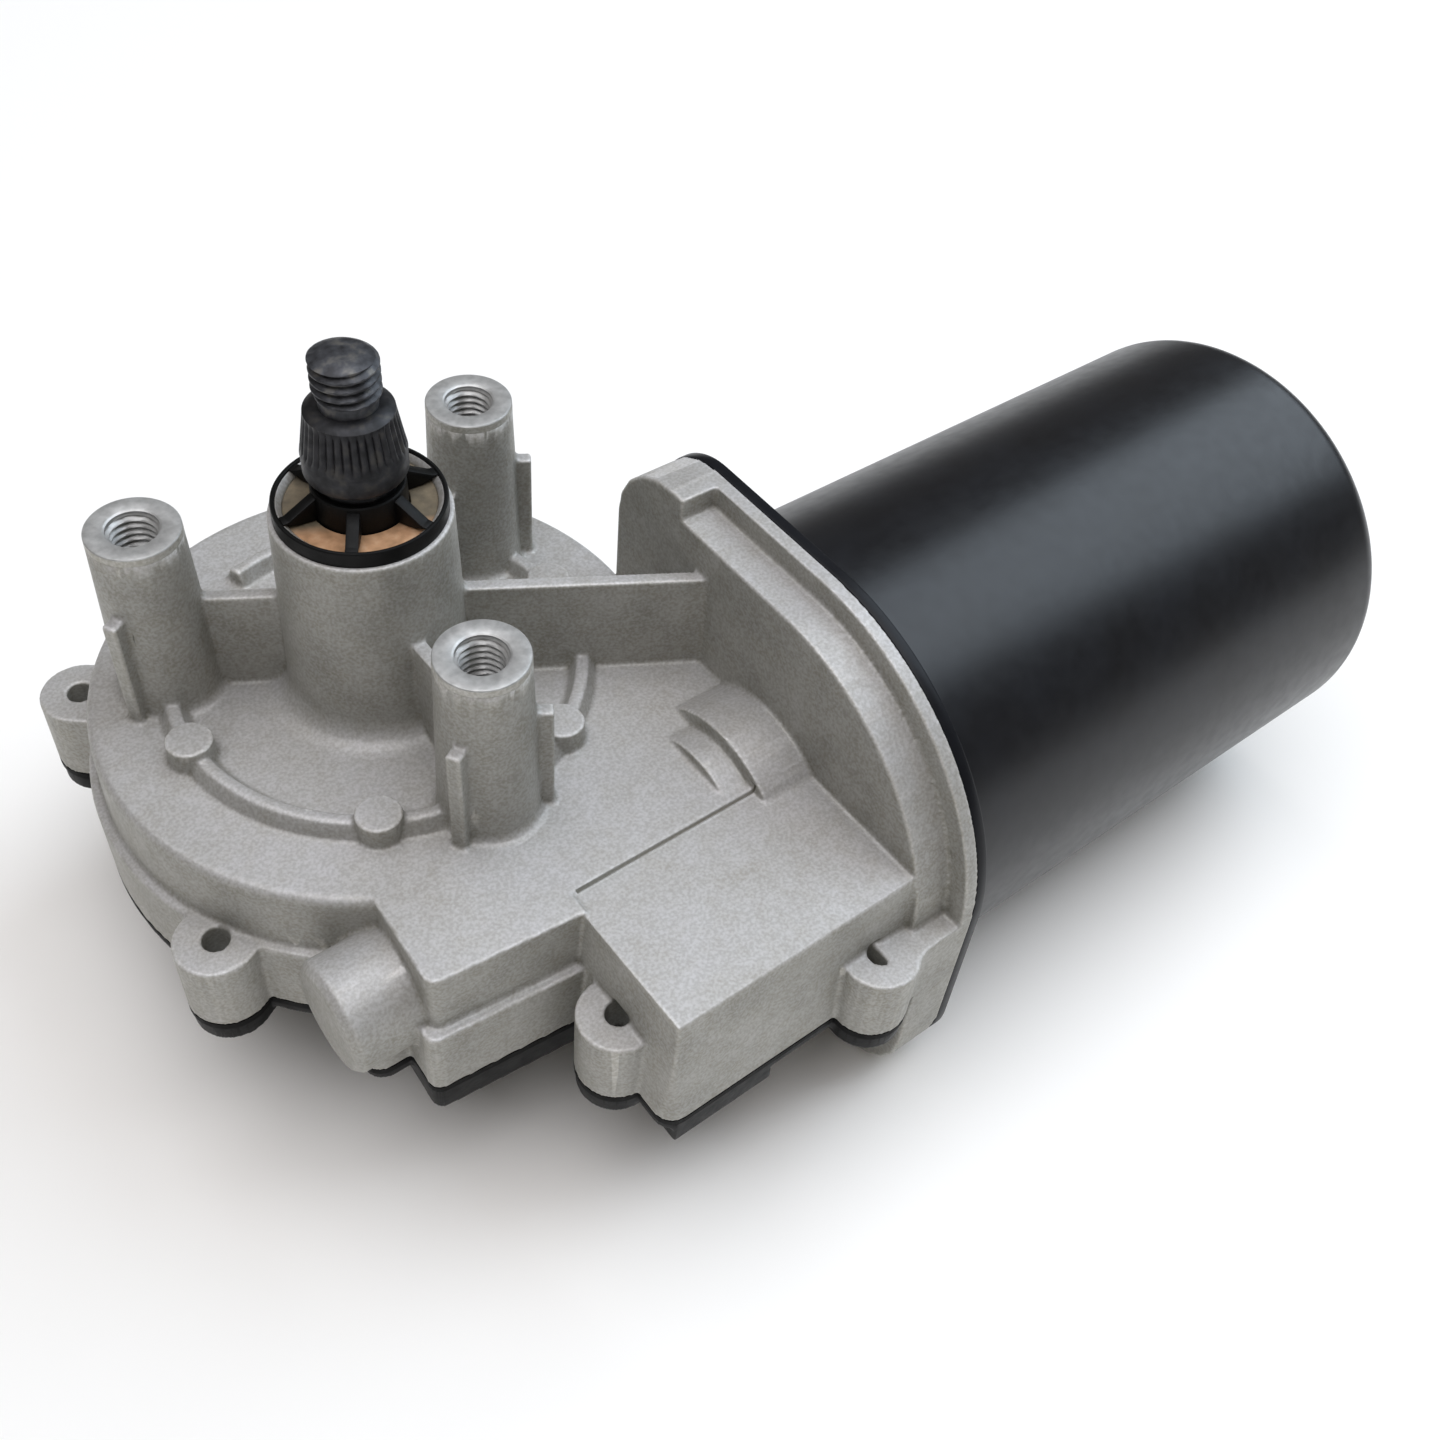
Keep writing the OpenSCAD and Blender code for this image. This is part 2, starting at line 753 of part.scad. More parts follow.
// Everything that is cored or bored out of the casting
module case_cores() {
    difference() {
        post(floor_z - 1, roof_z, chamber_in_r);
        post(roof_z - inner_boss_h, roof_z + 1, inner_boss_r);
    }
    worm_channel();
    translate([box_wall, box_front + box_wall, floor_z - 1])
        cube([flange_x - 2 * box_wall, box_len - 2 * box_wall, box_z - deck_t - floor_z + 1]);
    post(roof_z - inner_boss_h - 1, boss_z + 1, bush_r + seat_gap);
    post(recess_z, boss_z + 1, recess_r);
    for (a = pillar_angles) {
        at_pillar(a) {
            post(-bolt_hole_depth, 1, bolt_hole_r);
            translate([0, 0, bolt_hole_r - bolt_sink_r])
                cylinder(h = bolt_sink_r - bolt_hole_r, r1 = bolt_hole_r, r2 = bolt_sink_r);
        }
    }
    for (g = lugs) {
        translate([g[0], g[1], 0]) post(floor_z - 1, ledge_z + 1, lug_hole_r);
    }
    motor_bores();
}

module worm_channel() {
    x0 = nose_bush_x + nose_bush_len;
    x1 = flange_x - bump_len - bump_small_len;
    along_motor(x0) cylinder(h = x1 - x0, r = channel_r);
    translate([x0, motor_y - channel_r, floor_z - 1]) cube([x1 - x0, 2 * channel_r, motor_z - floor_z + 1]);
}

module motor_bores() {
    neck_x = flange_x - bump_len - bump_small_len - 1;
    along_motor(nose_bush_x) cylinder(h = nose_bush_len + 1, r = nose_bush_r + seat_gap);
    along_motor(pad_x) cylinder(h = nose_bush_x - pad_x + 1, r = pad_r + seat_gap);
    along_motor(neck_x) cylinder(h = seat_x - neck_x + 1, r = rotor_shaft_r + 1.5);
    along_motor(seat_x) cylinder(h = flange_cup_x - seat_x + 1, r = cup_bore_r);
    along_motor(retainer_x) cylinder(h = flange_cup_x - retainer_x + 1, r = retainer_r + seat_gap);
    flange_cup();
    along_motor(brush_plate_x) cylinder(h = joint_x - brush_plate_x + 1, r = flange_cup_r);
    along_motor(joint_x - seal_groove) ring(0, seal_groove + 1, seal_r + seal_w / 2, seal_r - seal_w / 2);
    for (side = [0, 180]) {
        along_motor(flange_screw_x - 1) rotate(side) translate([ear_c, ear_c, 0])
            cylinder(h = joint_x - flange_screw_x + 2, r = ear_hole_r);
    }
    lead_hole();
}

// The cup behind the brush plate, which leaves three posts for the plate's screws
module flange_cup() {
    along_motor(flange_cup_x) difference() {
        cylinder(h = joint_x - flange_cup_x + 1, r = flange_cup_r - 3);
        for (a = plate_screw_angles) {
            rotate(a) translate([plate_screw_ring, 0, -1])
                cylinder(h = brush_plate_x - flange_cup_x + 1, r = plate_post_r);
        }
    }
    for (a = plate_screw_angles) {
        along_motor(brush_plate_x - plate_screw_len - 0.5) rotate(a) translate([plate_screw_ring, 0, 0])
            cylinder(h = plate_screw_len + 1, r = plate_screw_r);
    }
}

module lead_hole() {
    translate([flange_x - box_wall - 1, lead_y, lead_z]) rotate([0, 90, 0])
        cylinder(h = flange_cup_x - flange_x + box_wall + 2, r = grommet_r + seat_gap);
}

module gear_housing() {
    color(cast_grey) difference() {
        union() {
            case_body();
            motor_flange();
            shaft_boss();
            for (a = pillar_angles) {
                at_pillar(a) {
                    pillar();
                    pillar_fins(a);
                }
            }
            radial_walls();
            ring_rib();
        }
        case_cores();
    }
}

// The cover joint

// Outline of the hollows that open at the joint
module cavity_plan() {
    x0 = nose_bush_x + nose_bush_len;
    x1 = flange_x - bump_len - bump_small_len;
    circle(r = chamber_in_r);
    translate([x0, motor_y - channel_r]) square([x1 - x0, 2 * channel_r]);
    translate([box_wall, box_front + box_wall]) square([flange_x - 2 * box_wall, box_len - 2 * box_wall]);
}

module cover_gasket() {
    color(black_plastic) slab(gasket_z, floor_z) difference() {
        joint_plan(0);
        cavity_plan();
        for (g = lugs) {
            translate([g[0], g[1]]) circle(r = lug_hole_r);
        }
    }
}

module bottom_cover() {
    color(black_plastic) difference() {
        union() {
            slab(gasket_z - cover_t, gasket_z) joint_plan(cover_inset);
            slab(gasket_z - cover_lug_t, gasket_z) for (g = lugs) {
                lug_plan(g, cover_inset);
            }
            slab(gasket_z - pan_h, gasket_z) pan_plan(0);
            translate([plug_x, plug_y, plug_z]) cube([plug_w, plug_d, plug_h]);
            socket_box(socket_wall);
            cover_ribs();
        }
        slab(gasket_z - pan_h + cover_t, gasket_z + 1) pan_plan(3);
        translate([0, 0, -1]) socket_box(0);
        for (p = pin_places) {
            translate([p[0] - pin_w / 2, p[1] - pin_t / 2, socket_top - 2])
                cube([pin_w, pin_t, socket_wall + 3]);
        }
        for (g = lugs) {
            translate([g[0], g[1], 0]) {
                post(gasket_z - pan_h - 1, gasket_z + 1, cover_screw_r + 0.2);
                post(plug_z - 1, gasket_z - cover_lug_t, screw_head_r + 0.4);
            }
        }
    }
}

// The connector's socket, or with a wall the block round it
module socket_box(wall) {
    translate([socket_x - wall, socket_y - wall, plug_z])
        cube([socket_w + 2 * wall, socket_d + 2 * wall, socket_depth + wall]);
}

module pan_plan(inset) {
    reach = flange_x - pan_edge - inset;
    intersection() {
        circle(r = chamber_foot_r - pan_back - inset);
        translate([-chamber_foot_r, -chamber_foot_r]) square([chamber_foot_r + reach, 2 * chamber_foot_r]);
    }
    section_plan(ledge_w - pan_edge - inset);
    translate([0, box_y + inset]) square([reach, -box_y]);
}

// Stiffening ribs under the cover
module cover_ribs() {
    rib_w = 1.6;
    rib_z = gasket_z - pan_h - 1;
    reach = chamber_in_r * 0.8;
    ring_r = chamber_in_r * 0.42;
    for (a = [0, 60, 120]) {
        rotate(a) translate([-reach, -rib_w / 2, rib_z]) cube([2 * reach, rib_w, 1.5]);
    }
    ring(rib_z, rib_z + 1.5, ring_r, ring_r - rib_w);
}

module cover_screws() {
    color(zinc) for (g = lugs) {
        translate([g[0], g[1], gasket_z - cover_lug_t]) {
            post(-screw_head_t, 0, screw_head_r);
            post(-1, screw_reach, cover_screw_r);
        }
    }
}

module connector_pins() {
    color(brass) for (p = pin_places) {
        translate([p[0] - pin_w / 2, p[1] - pin_t / 2, plug_z + pin_sink])
            cube([pin_w, pin_t, pin_top - plug_z - pin_sink]);
    }
}

// The parking switch: a plastic carrier on the cover holds three springy fingers under the wheel
module contact_carrier() {
    color(nylon) difference() {
        translate([carrier_x, -finger_rings[2] - carrier_edge, carrier_z])
            cube([carrier_len, carrier_w, carrier_top - carrier_z]);
        for (r = finger_rings) {
            translate([carrier_x - 1, -r - finger_w / 2, finger_z])
                cube([carrier_len + 2, finger_w, finger_t]);
        }
    }
}

module park_contacts() {
    tip_z = disc_z - 0.15;
    color(brass) for (r = finger_rings) {
        translate([0, finger_w / 2 - r, 0]) rotate([90, 0, 0]) linear_extrude(height = finger_w) polygon([
            [carrier_x + carrier_len, finger_z], [carrier_x + carrier_len, finger_z + finger_t],
            [carrier_x - 1, finger_z + finger_t], [2, tip_z], [-2, tip_z - 0.6],
            [-2, tip_z - 0.6 - finger_t], [2, tip_z - finger_t], [carrier_x - 1, finger_z]
        ]);
    }
}

// The shaft's bearings and the cap over them

module upper_bush() {
    color(bronze) ring(recess_z - bush_len, recess_z, bush_r, shaft_r + run_gap);
}

module lower_bush() {
    z0 = roof_z - inner_boss_h;
    color(bronze) ring(z0, z0 + bush_len, bush_r, shaft_r + run_gap);
}

module sealing_washer() {
    color([0.72, 0.52, 0.35]) ring(recess_z, recess_z + washer_t, recess_r - 0.3, shaft_r + 0.1);
}

// The cap's hub stands round the shaft's neck, just under its collar
module boss_cap() {
    hub_z = recess_z + washer_t;
    spoke_h = cap_skirt + 1;
    color(black_plastic) {
        difference() {
            union() {
                ring(boss_z, boss_z + cap_h, cap_r, cap_in_r);
                ring(boss_z - cap_skirt, boss_z + 1, recess_r - seat_gap, cap_in_r);
                post(hub_z, collar_z - 0.9, cap_hub_r);
                for (i = [0:5]) {
                    rotate(spoke_angle + 60 * i) translate([cap_hub_r - 1, -spoke_w / 2, boss_z - cap_skirt])
                        cube([cap_in_r - cap_hub_r + 1.3, spoke_w, spoke_h]);
                }
            }
            post(hub_z - 1, collar_z + 1, shaft_r + 0.1);
        }
    }
}

// Bearings of the armature shaft

// A self-aligning bush: a ball with its ends cut flat
module ball_bush(x) {
    color(bronze) along_motor(x) difference() {
        intersection() {
            sphere(r = bush_ball_r);
            cylinder(h = 2 * bush_half, r = bush_ball_r + 1, center = true);
        }
        cylinder(h = 4 * bush_half, r = rotor_shaft_r + run_gap, center = true);
    }
}

module nose_bush() {
    color(bronze)
        motor_ring(nose_bush_x, nose_bush_x + nose_bush_len, nose_bush_r, rotor_shaft_r + run_gap);
}

module thrust_pad() {
    color(steel) along_motor(pad_x) cylinder(h = pad_t, r = pad_r);
}

module centre_bush() {
    ball_bush(centre_bush_x);
}

module centre_bush_retainer() {
    color(steel) along_motor(retainer_x) difference() {
        cylinder(h = retainer_t, r = retainer_r);
        translate([0, 0, -1]) cylinder(h = retainer_t + 2, r = bush_ball_r - 1.6);
        for (i = [0:5]) {
            rotate(60 * i) translate([0, -0.6, -1]) cube([retainer_r - 2.5, 1.2, retainer_t + 2]);
        }
    }
}

module rear_bush() {
    ball_bush(rear_bush_x);
}

// A dished clip on the can's end plate, whose slotted tongues lie against the ball
module rear_bush_clip() {
    color(steel) along_motor(can_end - can_wall) difference() {
        rotate_extrude() polygon([
            [clip_r, 0], [clip_bend_r, 0], [clip_tip_r, -clip_reach], [clip_tip_r, -clip_reach - 0.9],
            [clip_bend_r, -retainer_t], [clip_r, -retainer_t]
        ]);
        for (i = [0:5]) {
            rotate(60 * i) translate([0, -0.6, -clip_reach - 2])
                cube([clip_bend_r + 1, 1.2, clip_reach + 3]);
        }
    }
}

// The steel can and what is fixed in it

module pole_housing() {
    cup_r = cup_bore_r + can_wall;
    end_h = can_end - joint_x;
    cup_x = rear_bush_x - joint_x - 1;
    color(black_paint) along_motor(joint_x) difference() {
        union() {
            linear_extrude(height = can_flange_t) flange_outline(rim_r);
            rotate_extrude() polygon(concat(
                [[0, 0], [can_r, 0]],
                arc(can_r - can_edge_r, end_h - can_edge_r, can_edge_r, 0, 90),
                [[cup_r, end_h]],
                arc(cup_r - 1.5, end_h + cup_out - 1.5, 1.5, 0, 90),
                [[0, end_h + cup_out]]
            ));
        }
        can_bore();
        translate([0, 0, cup_x]) cylinder(h = end_h + cup_out - can_wall - cup_x, r = cup_bore_r);
        for (side = [0, 180]) {
            rotate(side) translate([ear_c, ear_c, -1]) cylinder(h = can_flange_t + 2, r = ear_hole_r + 0.3);
        }
    }
}

module can_bore() {
    inner_edge_r = can_edge_r - can_wall;
    rotate_extrude() polygon(concat(
        [[0, -1], [can_in_r, -1]],
        arc(can_in_r - inner_edge_r, can_end - joint_x - can_wall - inner_edge_r, inner_edge_r, 0, 90),
        [[0, can_end - joint_x - can_wall]]
    ));
}

module flange_seal() {
    color(black_plastic)
        motor_ring(joint_x - seal_groove, joint_x, seal_r + seal_w / 2, seal_r - seal_w / 2);
}

module flange_screws() {
    grip = can_x - flange_screw_x;
    color(zinc) for (side = [0, 180]) {
        along_motor(flange_screw_x) rotate(side) translate([ear_c, ear_c, 0]) {
            cylinder(h = grip, r = ear_hole_r);
            translate([0, 0, grip]) cylinder(h = 1, r = flange_head_r + 0.9);
            translate([0, 0, grip]) cylinder(h = flange_head_t, r = flange_head_r, $fn = 6);
        }
    }
}

module magnets() {
    color([0.22, 0.21, 0.22]) along_motor(magnet_x) for (side = [0, 180]) {
        linear_extrude(height = magnet_len) intersection() {
            difference() {
                circle(r = magnet_out_r);
                circle(r = magnet_in_r);
            }
            rotate(side) sector(can_in_r, -magnet_span / 2, magnet_span / 2);
        }
    }
}

// Bowed spring strips that push the magnets apart
module magnet_clips() {
    half = 89.4 - magnet_span / 2;
    color(steel) along_motor(magnet_x + magnet_clip_in) for (side = [90, 270]) {
        linear_extrude(height = magnet_len - 2 * magnet_clip_in) intersection() {
            difference() {
                circle(r = magnet_out_r);
                circle(r = magnet_out_r - 1);
            }
            rotate(side) sector(can_in_r, -half, half);
        }
    }
}

// Brush gear

module brush_plate() {
    color([0.35, 0.22, 0.14]) along_motor(brush_plate_x) difference() {
        cylinder(h = brush_plate_t, r = brush_plate_r);
        translate([0, 0, -1]) cylinder(h = brush_plate_t + 2, r = brush_plate_hole_r);
        for (a = plate_screw_angles) {
            rotate(a) translate([plate_screw_ring, 0, -1])
                cylinder(h = brush_plate_t + 2, r = plate_screw_r + 0.2);
        }
    }
}

module brush_plate_screws() {
    grip = brush_plate_t + plate_screw_len;
    color(zinc) along_motor(brush_plate_x - plate_screw_len) for (a = plate_screw_angles) {
        rotate(a) translate([plate_screw_ring, 0, 0]) {
            cylinder(h = grip, r = plate_screw_r);
            translate([0, 0, grip]) cylinder(h = 1.6, r = 2.6);
        }
    }
}

// Brass boxes that guide the brushes, closed at their outer ends
module brush_holders() {
    z0 = plate_face_x - brush_x;
    reach = holder_out - holder_in;
    outer_w = brush_w + 2 * holder_wall;
    color(brass) along_motor(brush_x) for (a = brush_angles) {
        rotate(a) translate([holder_in, 0, 0]) difference() {
            translate([0, -outer_w / 2, z0]) cube([reach, outer_w, brush_t / 2 + holder_wall - z0]);
            translate([-1, -brush_w / 2 - 0.1, -brush_t / 2 - 0.1])
                cube([reach, brush_w + 0.2, brush_t + 0.2]);
            translate([-1, -brush_w / 2, z0 - 1]) cube([reach - 1, brush_w, 4]);
        }
    }
}

module carbon_brushes() {
    color([0.16, 0.16, 0.17]) along_motor(brush_x) for (a = brush_angles) {
        rotate(a) difference() {
            translate([commutator_r - 1, -brush_w / 2, -brush_t / 2])
                cube([brush_back - commutator_r + 1, brush_w, brush_t]);
            cylinder(h = 2 * brush_t, r = commutator_r + 0.08, center = true);
        }
    }
}

// Coil springs behind the brushes
module brush_springs() {
    gap = holder_out - 1 - brush_back;
    color(steel) along_motor(brush_x) for (a = brush_angles) {
        rotate(a) translate([brush_back + 0.05, 0, 0]) rotate([0, 90, 0])
            linear_extrude(height = gap - 0.1, twist = -360 * 4, slices = 48, $fn = 8)
            translate([1.6, 0]) circle(r = 0.4, $fn = 8);
    }
}

module suppression_chokes() {
    color([0.25, 0.17, 0.13]) along_motor(plate_face_x + choke_r + 0.05) for (a = choke_angles) {
        rotate(a) translate([choke_ring, 0, 0]) rotate([90, 0, 0]) {
            cylinder(h = 16, r = 1.9, center = true);
            cylinder(h = 11, r = choke_r, center = true);
        }
    }
}

module lead_grommet() {
    x0 = flange_x - box_wall;
    color(black_plastic) translate([x0, lead_y, lead_z]) rotate([0, 90, 0]) difference() {
        union() {
            cylinder(h = flange_cup_x - x0, r = grommet_r);
            translate([0, 0, -grommet_lip_t])
                cylinder(h = grommet_lip_t, r = grommet_r + grommet_lip);
        }
        for (i = [-1:1]) {
            translate([i * lead_pitch, 0, -grommet_lip_t - 1])
                cylinder(h = flange_cup_x - x0 + 4, r = lead_r);
        }
    }
}

// Three insulated leads, which bend down to the pins one behind another
module motor_leads() {
    color([0.45, 0.10, 0.10]) for (i = [0:2]) {
        lead_x = pin_xs[i];
        z = lead_z + (1 - i) * lead_pitch;
        translate([lead_x + lead_bend, lead_y, z]) rotate([0, 90, 0])
            cylinder(h = brush_plate_x - lead_x - lead_bend, r = lead_r);
        translate([lead_x + lead_bend, lead_y, z - lead_bend]) rotate([90, 0, 0])
            rotate(90) rotate_extrude(angle = 90) translate([lead_bend, 0]) circle(r = lead_r);
        translate([lead_x, lead_y, 0]) post(pin_top, z - lead_bend, lead_r);
    }
}

// The output shaft and the worm wheel

module output_shaft() {
    color(dark_steel) {
        rotate_extrude() polygon([
            [0, shaft_foot], [shaft_r, shaft_foot], [shaft_r, collar_z - 0.6], [taper_r - 0.8, collar_z],
            [taper_r, collar_z + 0.8], [taper_r, taper_z], [taper_top_r, taper_z + taper_len],
            [taper_top_r - 1.2, thread_z - 0.3], [thread_r - 0.7, thread_z - 0.3],
            [thread_r - 0.7, thread_z], [0, thread_z]
        ]);
        post(thread_z, shaft_tip - 0.8, thread_r);
        translate([0, 0, shaft_tip - 0.8]) cylinder(h = 0.8, r1 = thread_r, r2 = thread_r - 0.8);
    }
}

// Corners of the wheel's teeth, one tooth after another
function wheel_points() = let (
    pitch = 360 / wheel_teeth,
    tip = pitch * (tooth_share / 2 - gear_module * flank_tan / worm_lead),
    root = pitch * (tooth_share / 2 + 1.2 * gear_module * flank_tan / worm_lead),
    tooth = [[-root, wheel_root_r], [-tip, wheel_tip_r], [tip, wheel_tip_r], [root, wheel_root_r]]
) [
    for (i = [0:wheel_teeth - 1], s = tooth)
        s[1] * [cos(pitch * i - 90 + s[0]), sin(pitch * i - 90 + s[0])]
];

module gear_rim() {
    color(nylon) translate([0, 0, wheel_z]) rotate(-wheel_twist / 2)
        linear_extrude(height = wheel_w, twist = -wheel_twist, slices = 2) difference() {
            polygon(wheel_points());
            circle(r = rim_bore_r / cos(180 / wheel_teeth), $fn = wheel_teeth);
        }
}

module gear_hub() {
    color(steel) difference() {
        union() {
            post(hub_plate_z, hub_plate_z + hub_plate_t, rim_bore_r - seat_gap);
            post(hub_foot, hub_top, hub_r);
        }
        post(hub_foot - 1, hub_top + 1, shaft_r);
        for (i = [0:5]) {
            rotate(60 * i + 30) translate([(hub_r + rim_bore_r) / 2, 0, 0])
                post(hub_plate_z + 1.5, hub_plate_z + hub_plate_t + 1, 6.5);
        }
    }
}

// A thin brass track with one gap, which tells where the wipers park
module contact_disc() {
    color(brass) difference() {
        ring(disc_z, hub_plate_z, rim_bore_r - 3, hub_r + 3);
        slab(disc_z - 1, hub_plate_z + 1) intersection() {
            difference() {
                circle(r = finger_rings[1] + 2.2);
                circle(r = finger_rings[1] - 2.2);
            }
            sector(rim_bore_r, 60, 95);
        }
    }
}

module thrust_washer() {
    color(bronze) ring(hub_top, roof_z - inner_boss_h - 0.05, hub_r, shaft_r + 0.05);
}

module retaining_ring() {
    color(steel) ring(hub_foot - ring_t, hub_foot, shaft_r + 2.2, shaft_r);
}

// The armature

module armature_shaft() {
    color(steel) along_motor(rotor_x0) difference() {
        cylinder(h = rotor_x1 - rotor_x0, r = rotor_shaft_r);
        translate([0, 0, -1]) cylinder(h = ball_r + 1 - 0.4 + run_gap, r = ball_r + run_gap);
    }
}

// Radius of the worm's thread at an angle round the shaft, for a thread centred on angle 0
function worm_r(a) = let (
    off = min(a, 360 - a) / 360 * worm_lead,
    rise = (worm_lead * tooth_share / 2 - off) / flank_tan
) worm_pitch_r + max(-1.2 * gear_module, min(gear_module, rise));

function worm_knots() = let (
    tip = 360 * (tooth_share / 2 - gear_module * flank_tan / worm_lead),
    root = 360 * (tooth_share / 2 + 1.2 * gear_module * flank_tan / worm_lead)
) [0, tip, (2 * tip + root) / 3, (tip + 2 * root) / 3, root, (root + 180) / 2];

// The thread stands half a turn away from the wheel at its middle, so a wheel tooth meets a space there
module worm() {
    knots = worm_knots();
    angles = concat(knots, [180], [for (i = [5:-1:1]) 360 - knots[i]]);
    start = 180 - 360 * worm_len / 2 / worm_lead;
    color(steel) along_motor(-worm_len / 2) difference() {
        rotate(start) linear_extrude(height = worm_len, twist = -360 * worm_len / worm_lead,
            slices = round(16 * worm_len / worm_lead), $fn = 12)
            polygon([for (a = angles) worm_r(a) * [cos(a), sin(a)]]);
        translate([0, 0, -1])
            cylinder(h = worm_len + 2, r = (rotor_shaft_r + seat_gap) / cos(15), $fn = 12);
    }
}

module armature_core() {
    color([0.45, 0.45, 0.47]) along_motor(core_x) difference() {
        cylinder(h = core_len, r = core_r);
        translate([0, 0, -1]) cylinder(h = core_len + 2, r = rotor_shaft_r);
        for (i = [0:slots - 1]) {
            rotate(360 * i / slots) translate([slot_c, 0, -1]) {
                cylinder(h = core_len + 2, r = slot_r);
                translate([0, -slot_mouth / 2, 0]) cube([core_r, slot_mouth, core_len + 2]);
            }
        }
    }
}

// Two end coils, joined through the slots
module windings() {
    color(copper) {
        for (end = [core_x - coil_end, core_x + core_len]) {
            along_motor(end) rotate_extrude() polygon(rounded([
                [slot_c - 12, 0], [slot_c + 6, 0], [slot_c + 6, coil_end], [slot_c - 12, coil_end]
            ], 2.5));
        }
        along_motor(core_x - 1) for (i = [0:slots - 1]) {
            rotate(360 * i / slots) translate([slot_c, 0, 0]) cylinder(h = core_len + 2, r = slot_r - 0.1);
        }
    }
}

module commutator() {
    riser_x = commutator_x + commutator_len;
    color(copper) difference() {
        union() {
            motor_ring(commutator_x, riser_x, commutator_r, rotor_shaft_r);
            motor_ring(riser_x, riser_x + 1.6, commutator_r + 1.6, rotor_shaft_r);
        }
        along_motor(commutator_x - 1) for (i = [0:slots - 1]) {
            rotate(360 * (i + 0.5) / slots) translate([commutator_r - 1.2, -0.35, 0])
                cube([5, 0.7, commutator_len + 5]);
        }
    }
}

module thrust_ball() {
    color(steel) along_motor(ball_x) sphere(r = ball_r);
}

gear_housing();
cover_gasket();
bottom_cover();
cover_screws();
connector_pins();
contact_carrier();
park_contacts();
boss_cap();
sealing_washer();
upper_bush();
lower_bush();
nose_bush();
thrust_pad();
centre_bush();
centre_bush_retainer();
pole_housing();
flange_seal();
flange_screws();
magnets();
magnet_clips();
rear_bush();
rear_bush_clip();
brush_plate();
brush_plate_screws();
brush_holders();
carbon_brushes();
brush_springs();
suppression_chokes();
lead_grommet();
motor_leads();
output_shaft();
gear_rim();
gear_hub();
contact_disc();
thrust_washer();
retaining_ring();
armature_shaft();
worm();
armature_core();
windings();
commutator();
thrust_ball();
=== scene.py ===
# Looks of the wiper motor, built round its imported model.
# The origin is on the output shaft's axis, level with the pillar tops.
# +Z runs up the shaft and +X along the motor towards its can. Lengths are in metres.
import json
import math

import bmesh
import bpy
import numpy as np
from mathutils import Matrix, Vector


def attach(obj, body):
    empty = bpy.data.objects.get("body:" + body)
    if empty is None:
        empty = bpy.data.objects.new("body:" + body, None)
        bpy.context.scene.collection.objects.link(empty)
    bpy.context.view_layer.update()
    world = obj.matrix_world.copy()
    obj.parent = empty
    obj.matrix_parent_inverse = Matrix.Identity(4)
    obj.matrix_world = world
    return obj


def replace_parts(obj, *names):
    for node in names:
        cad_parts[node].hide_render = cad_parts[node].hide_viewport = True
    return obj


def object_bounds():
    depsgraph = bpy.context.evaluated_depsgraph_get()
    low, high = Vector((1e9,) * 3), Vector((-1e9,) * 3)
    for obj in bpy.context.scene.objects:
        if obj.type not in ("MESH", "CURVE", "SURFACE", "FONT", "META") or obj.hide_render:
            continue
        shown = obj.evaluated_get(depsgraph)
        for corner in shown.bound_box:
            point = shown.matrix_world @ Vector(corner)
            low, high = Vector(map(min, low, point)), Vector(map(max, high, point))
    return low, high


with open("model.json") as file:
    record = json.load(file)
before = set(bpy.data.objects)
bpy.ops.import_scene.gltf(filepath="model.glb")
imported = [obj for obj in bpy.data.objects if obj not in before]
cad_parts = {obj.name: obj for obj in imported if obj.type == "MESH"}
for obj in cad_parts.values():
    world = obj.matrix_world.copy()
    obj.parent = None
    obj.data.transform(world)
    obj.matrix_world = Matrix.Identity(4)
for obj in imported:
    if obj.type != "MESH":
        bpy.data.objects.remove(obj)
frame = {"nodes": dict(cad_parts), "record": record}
cad_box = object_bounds()
nodes = frame["nodes"]


# Camera
# Its place and turn are fitted to the photograph from the pillar circle, the shaft, the can and the
# box corners. Roll tilts the picture, because the photograph was taken slightly askew.
CAMERA_AT = (-0.07666, -0.16589, 0.16043)
AZIMUTH = -43.14
ELEVATION = 48.48
ROLL = -6.91
SENSOR_MM = 36
LENS_MM = 38.69


def camera_matrix():
    a = math.radians(AZIMUTH)
    e = math.radians(ELEVATION)
    r = math.radians(ROLL)
    back = Vector((math.sin(a) * math.cos(e), -math.cos(a) * math.cos(e), math.sin(e)))
    right = (-back).cross(Vector((0, 0, 1))).normalized()
    down = (-back).cross(right)
    rolled_right = right * math.cos(r) + down * math.sin(r)
    rolled_down = down * math.cos(r) - right * math.sin(r)
    turn = Matrix((rolled_right, -rolled_down, back)).transposed().to_4x4()
    return Matrix.Translation(CAMERA_AT) @ turn


camera_data = bpy.data.cameras.new("camera")
camera_data.sensor_width = SENSOR_MM
camera_data.lens = LENS_MM
camera_data.clip_start = 0.01
camera = bpy.data.objects.new("camera", camera_data)
bpy.context.scene.collection.objects.link(camera)
camera.matrix_world = camera_matrix()
bpy.context.scene.camera = camera
bpy.context.scene.view_settings.view_transform = "Standard"


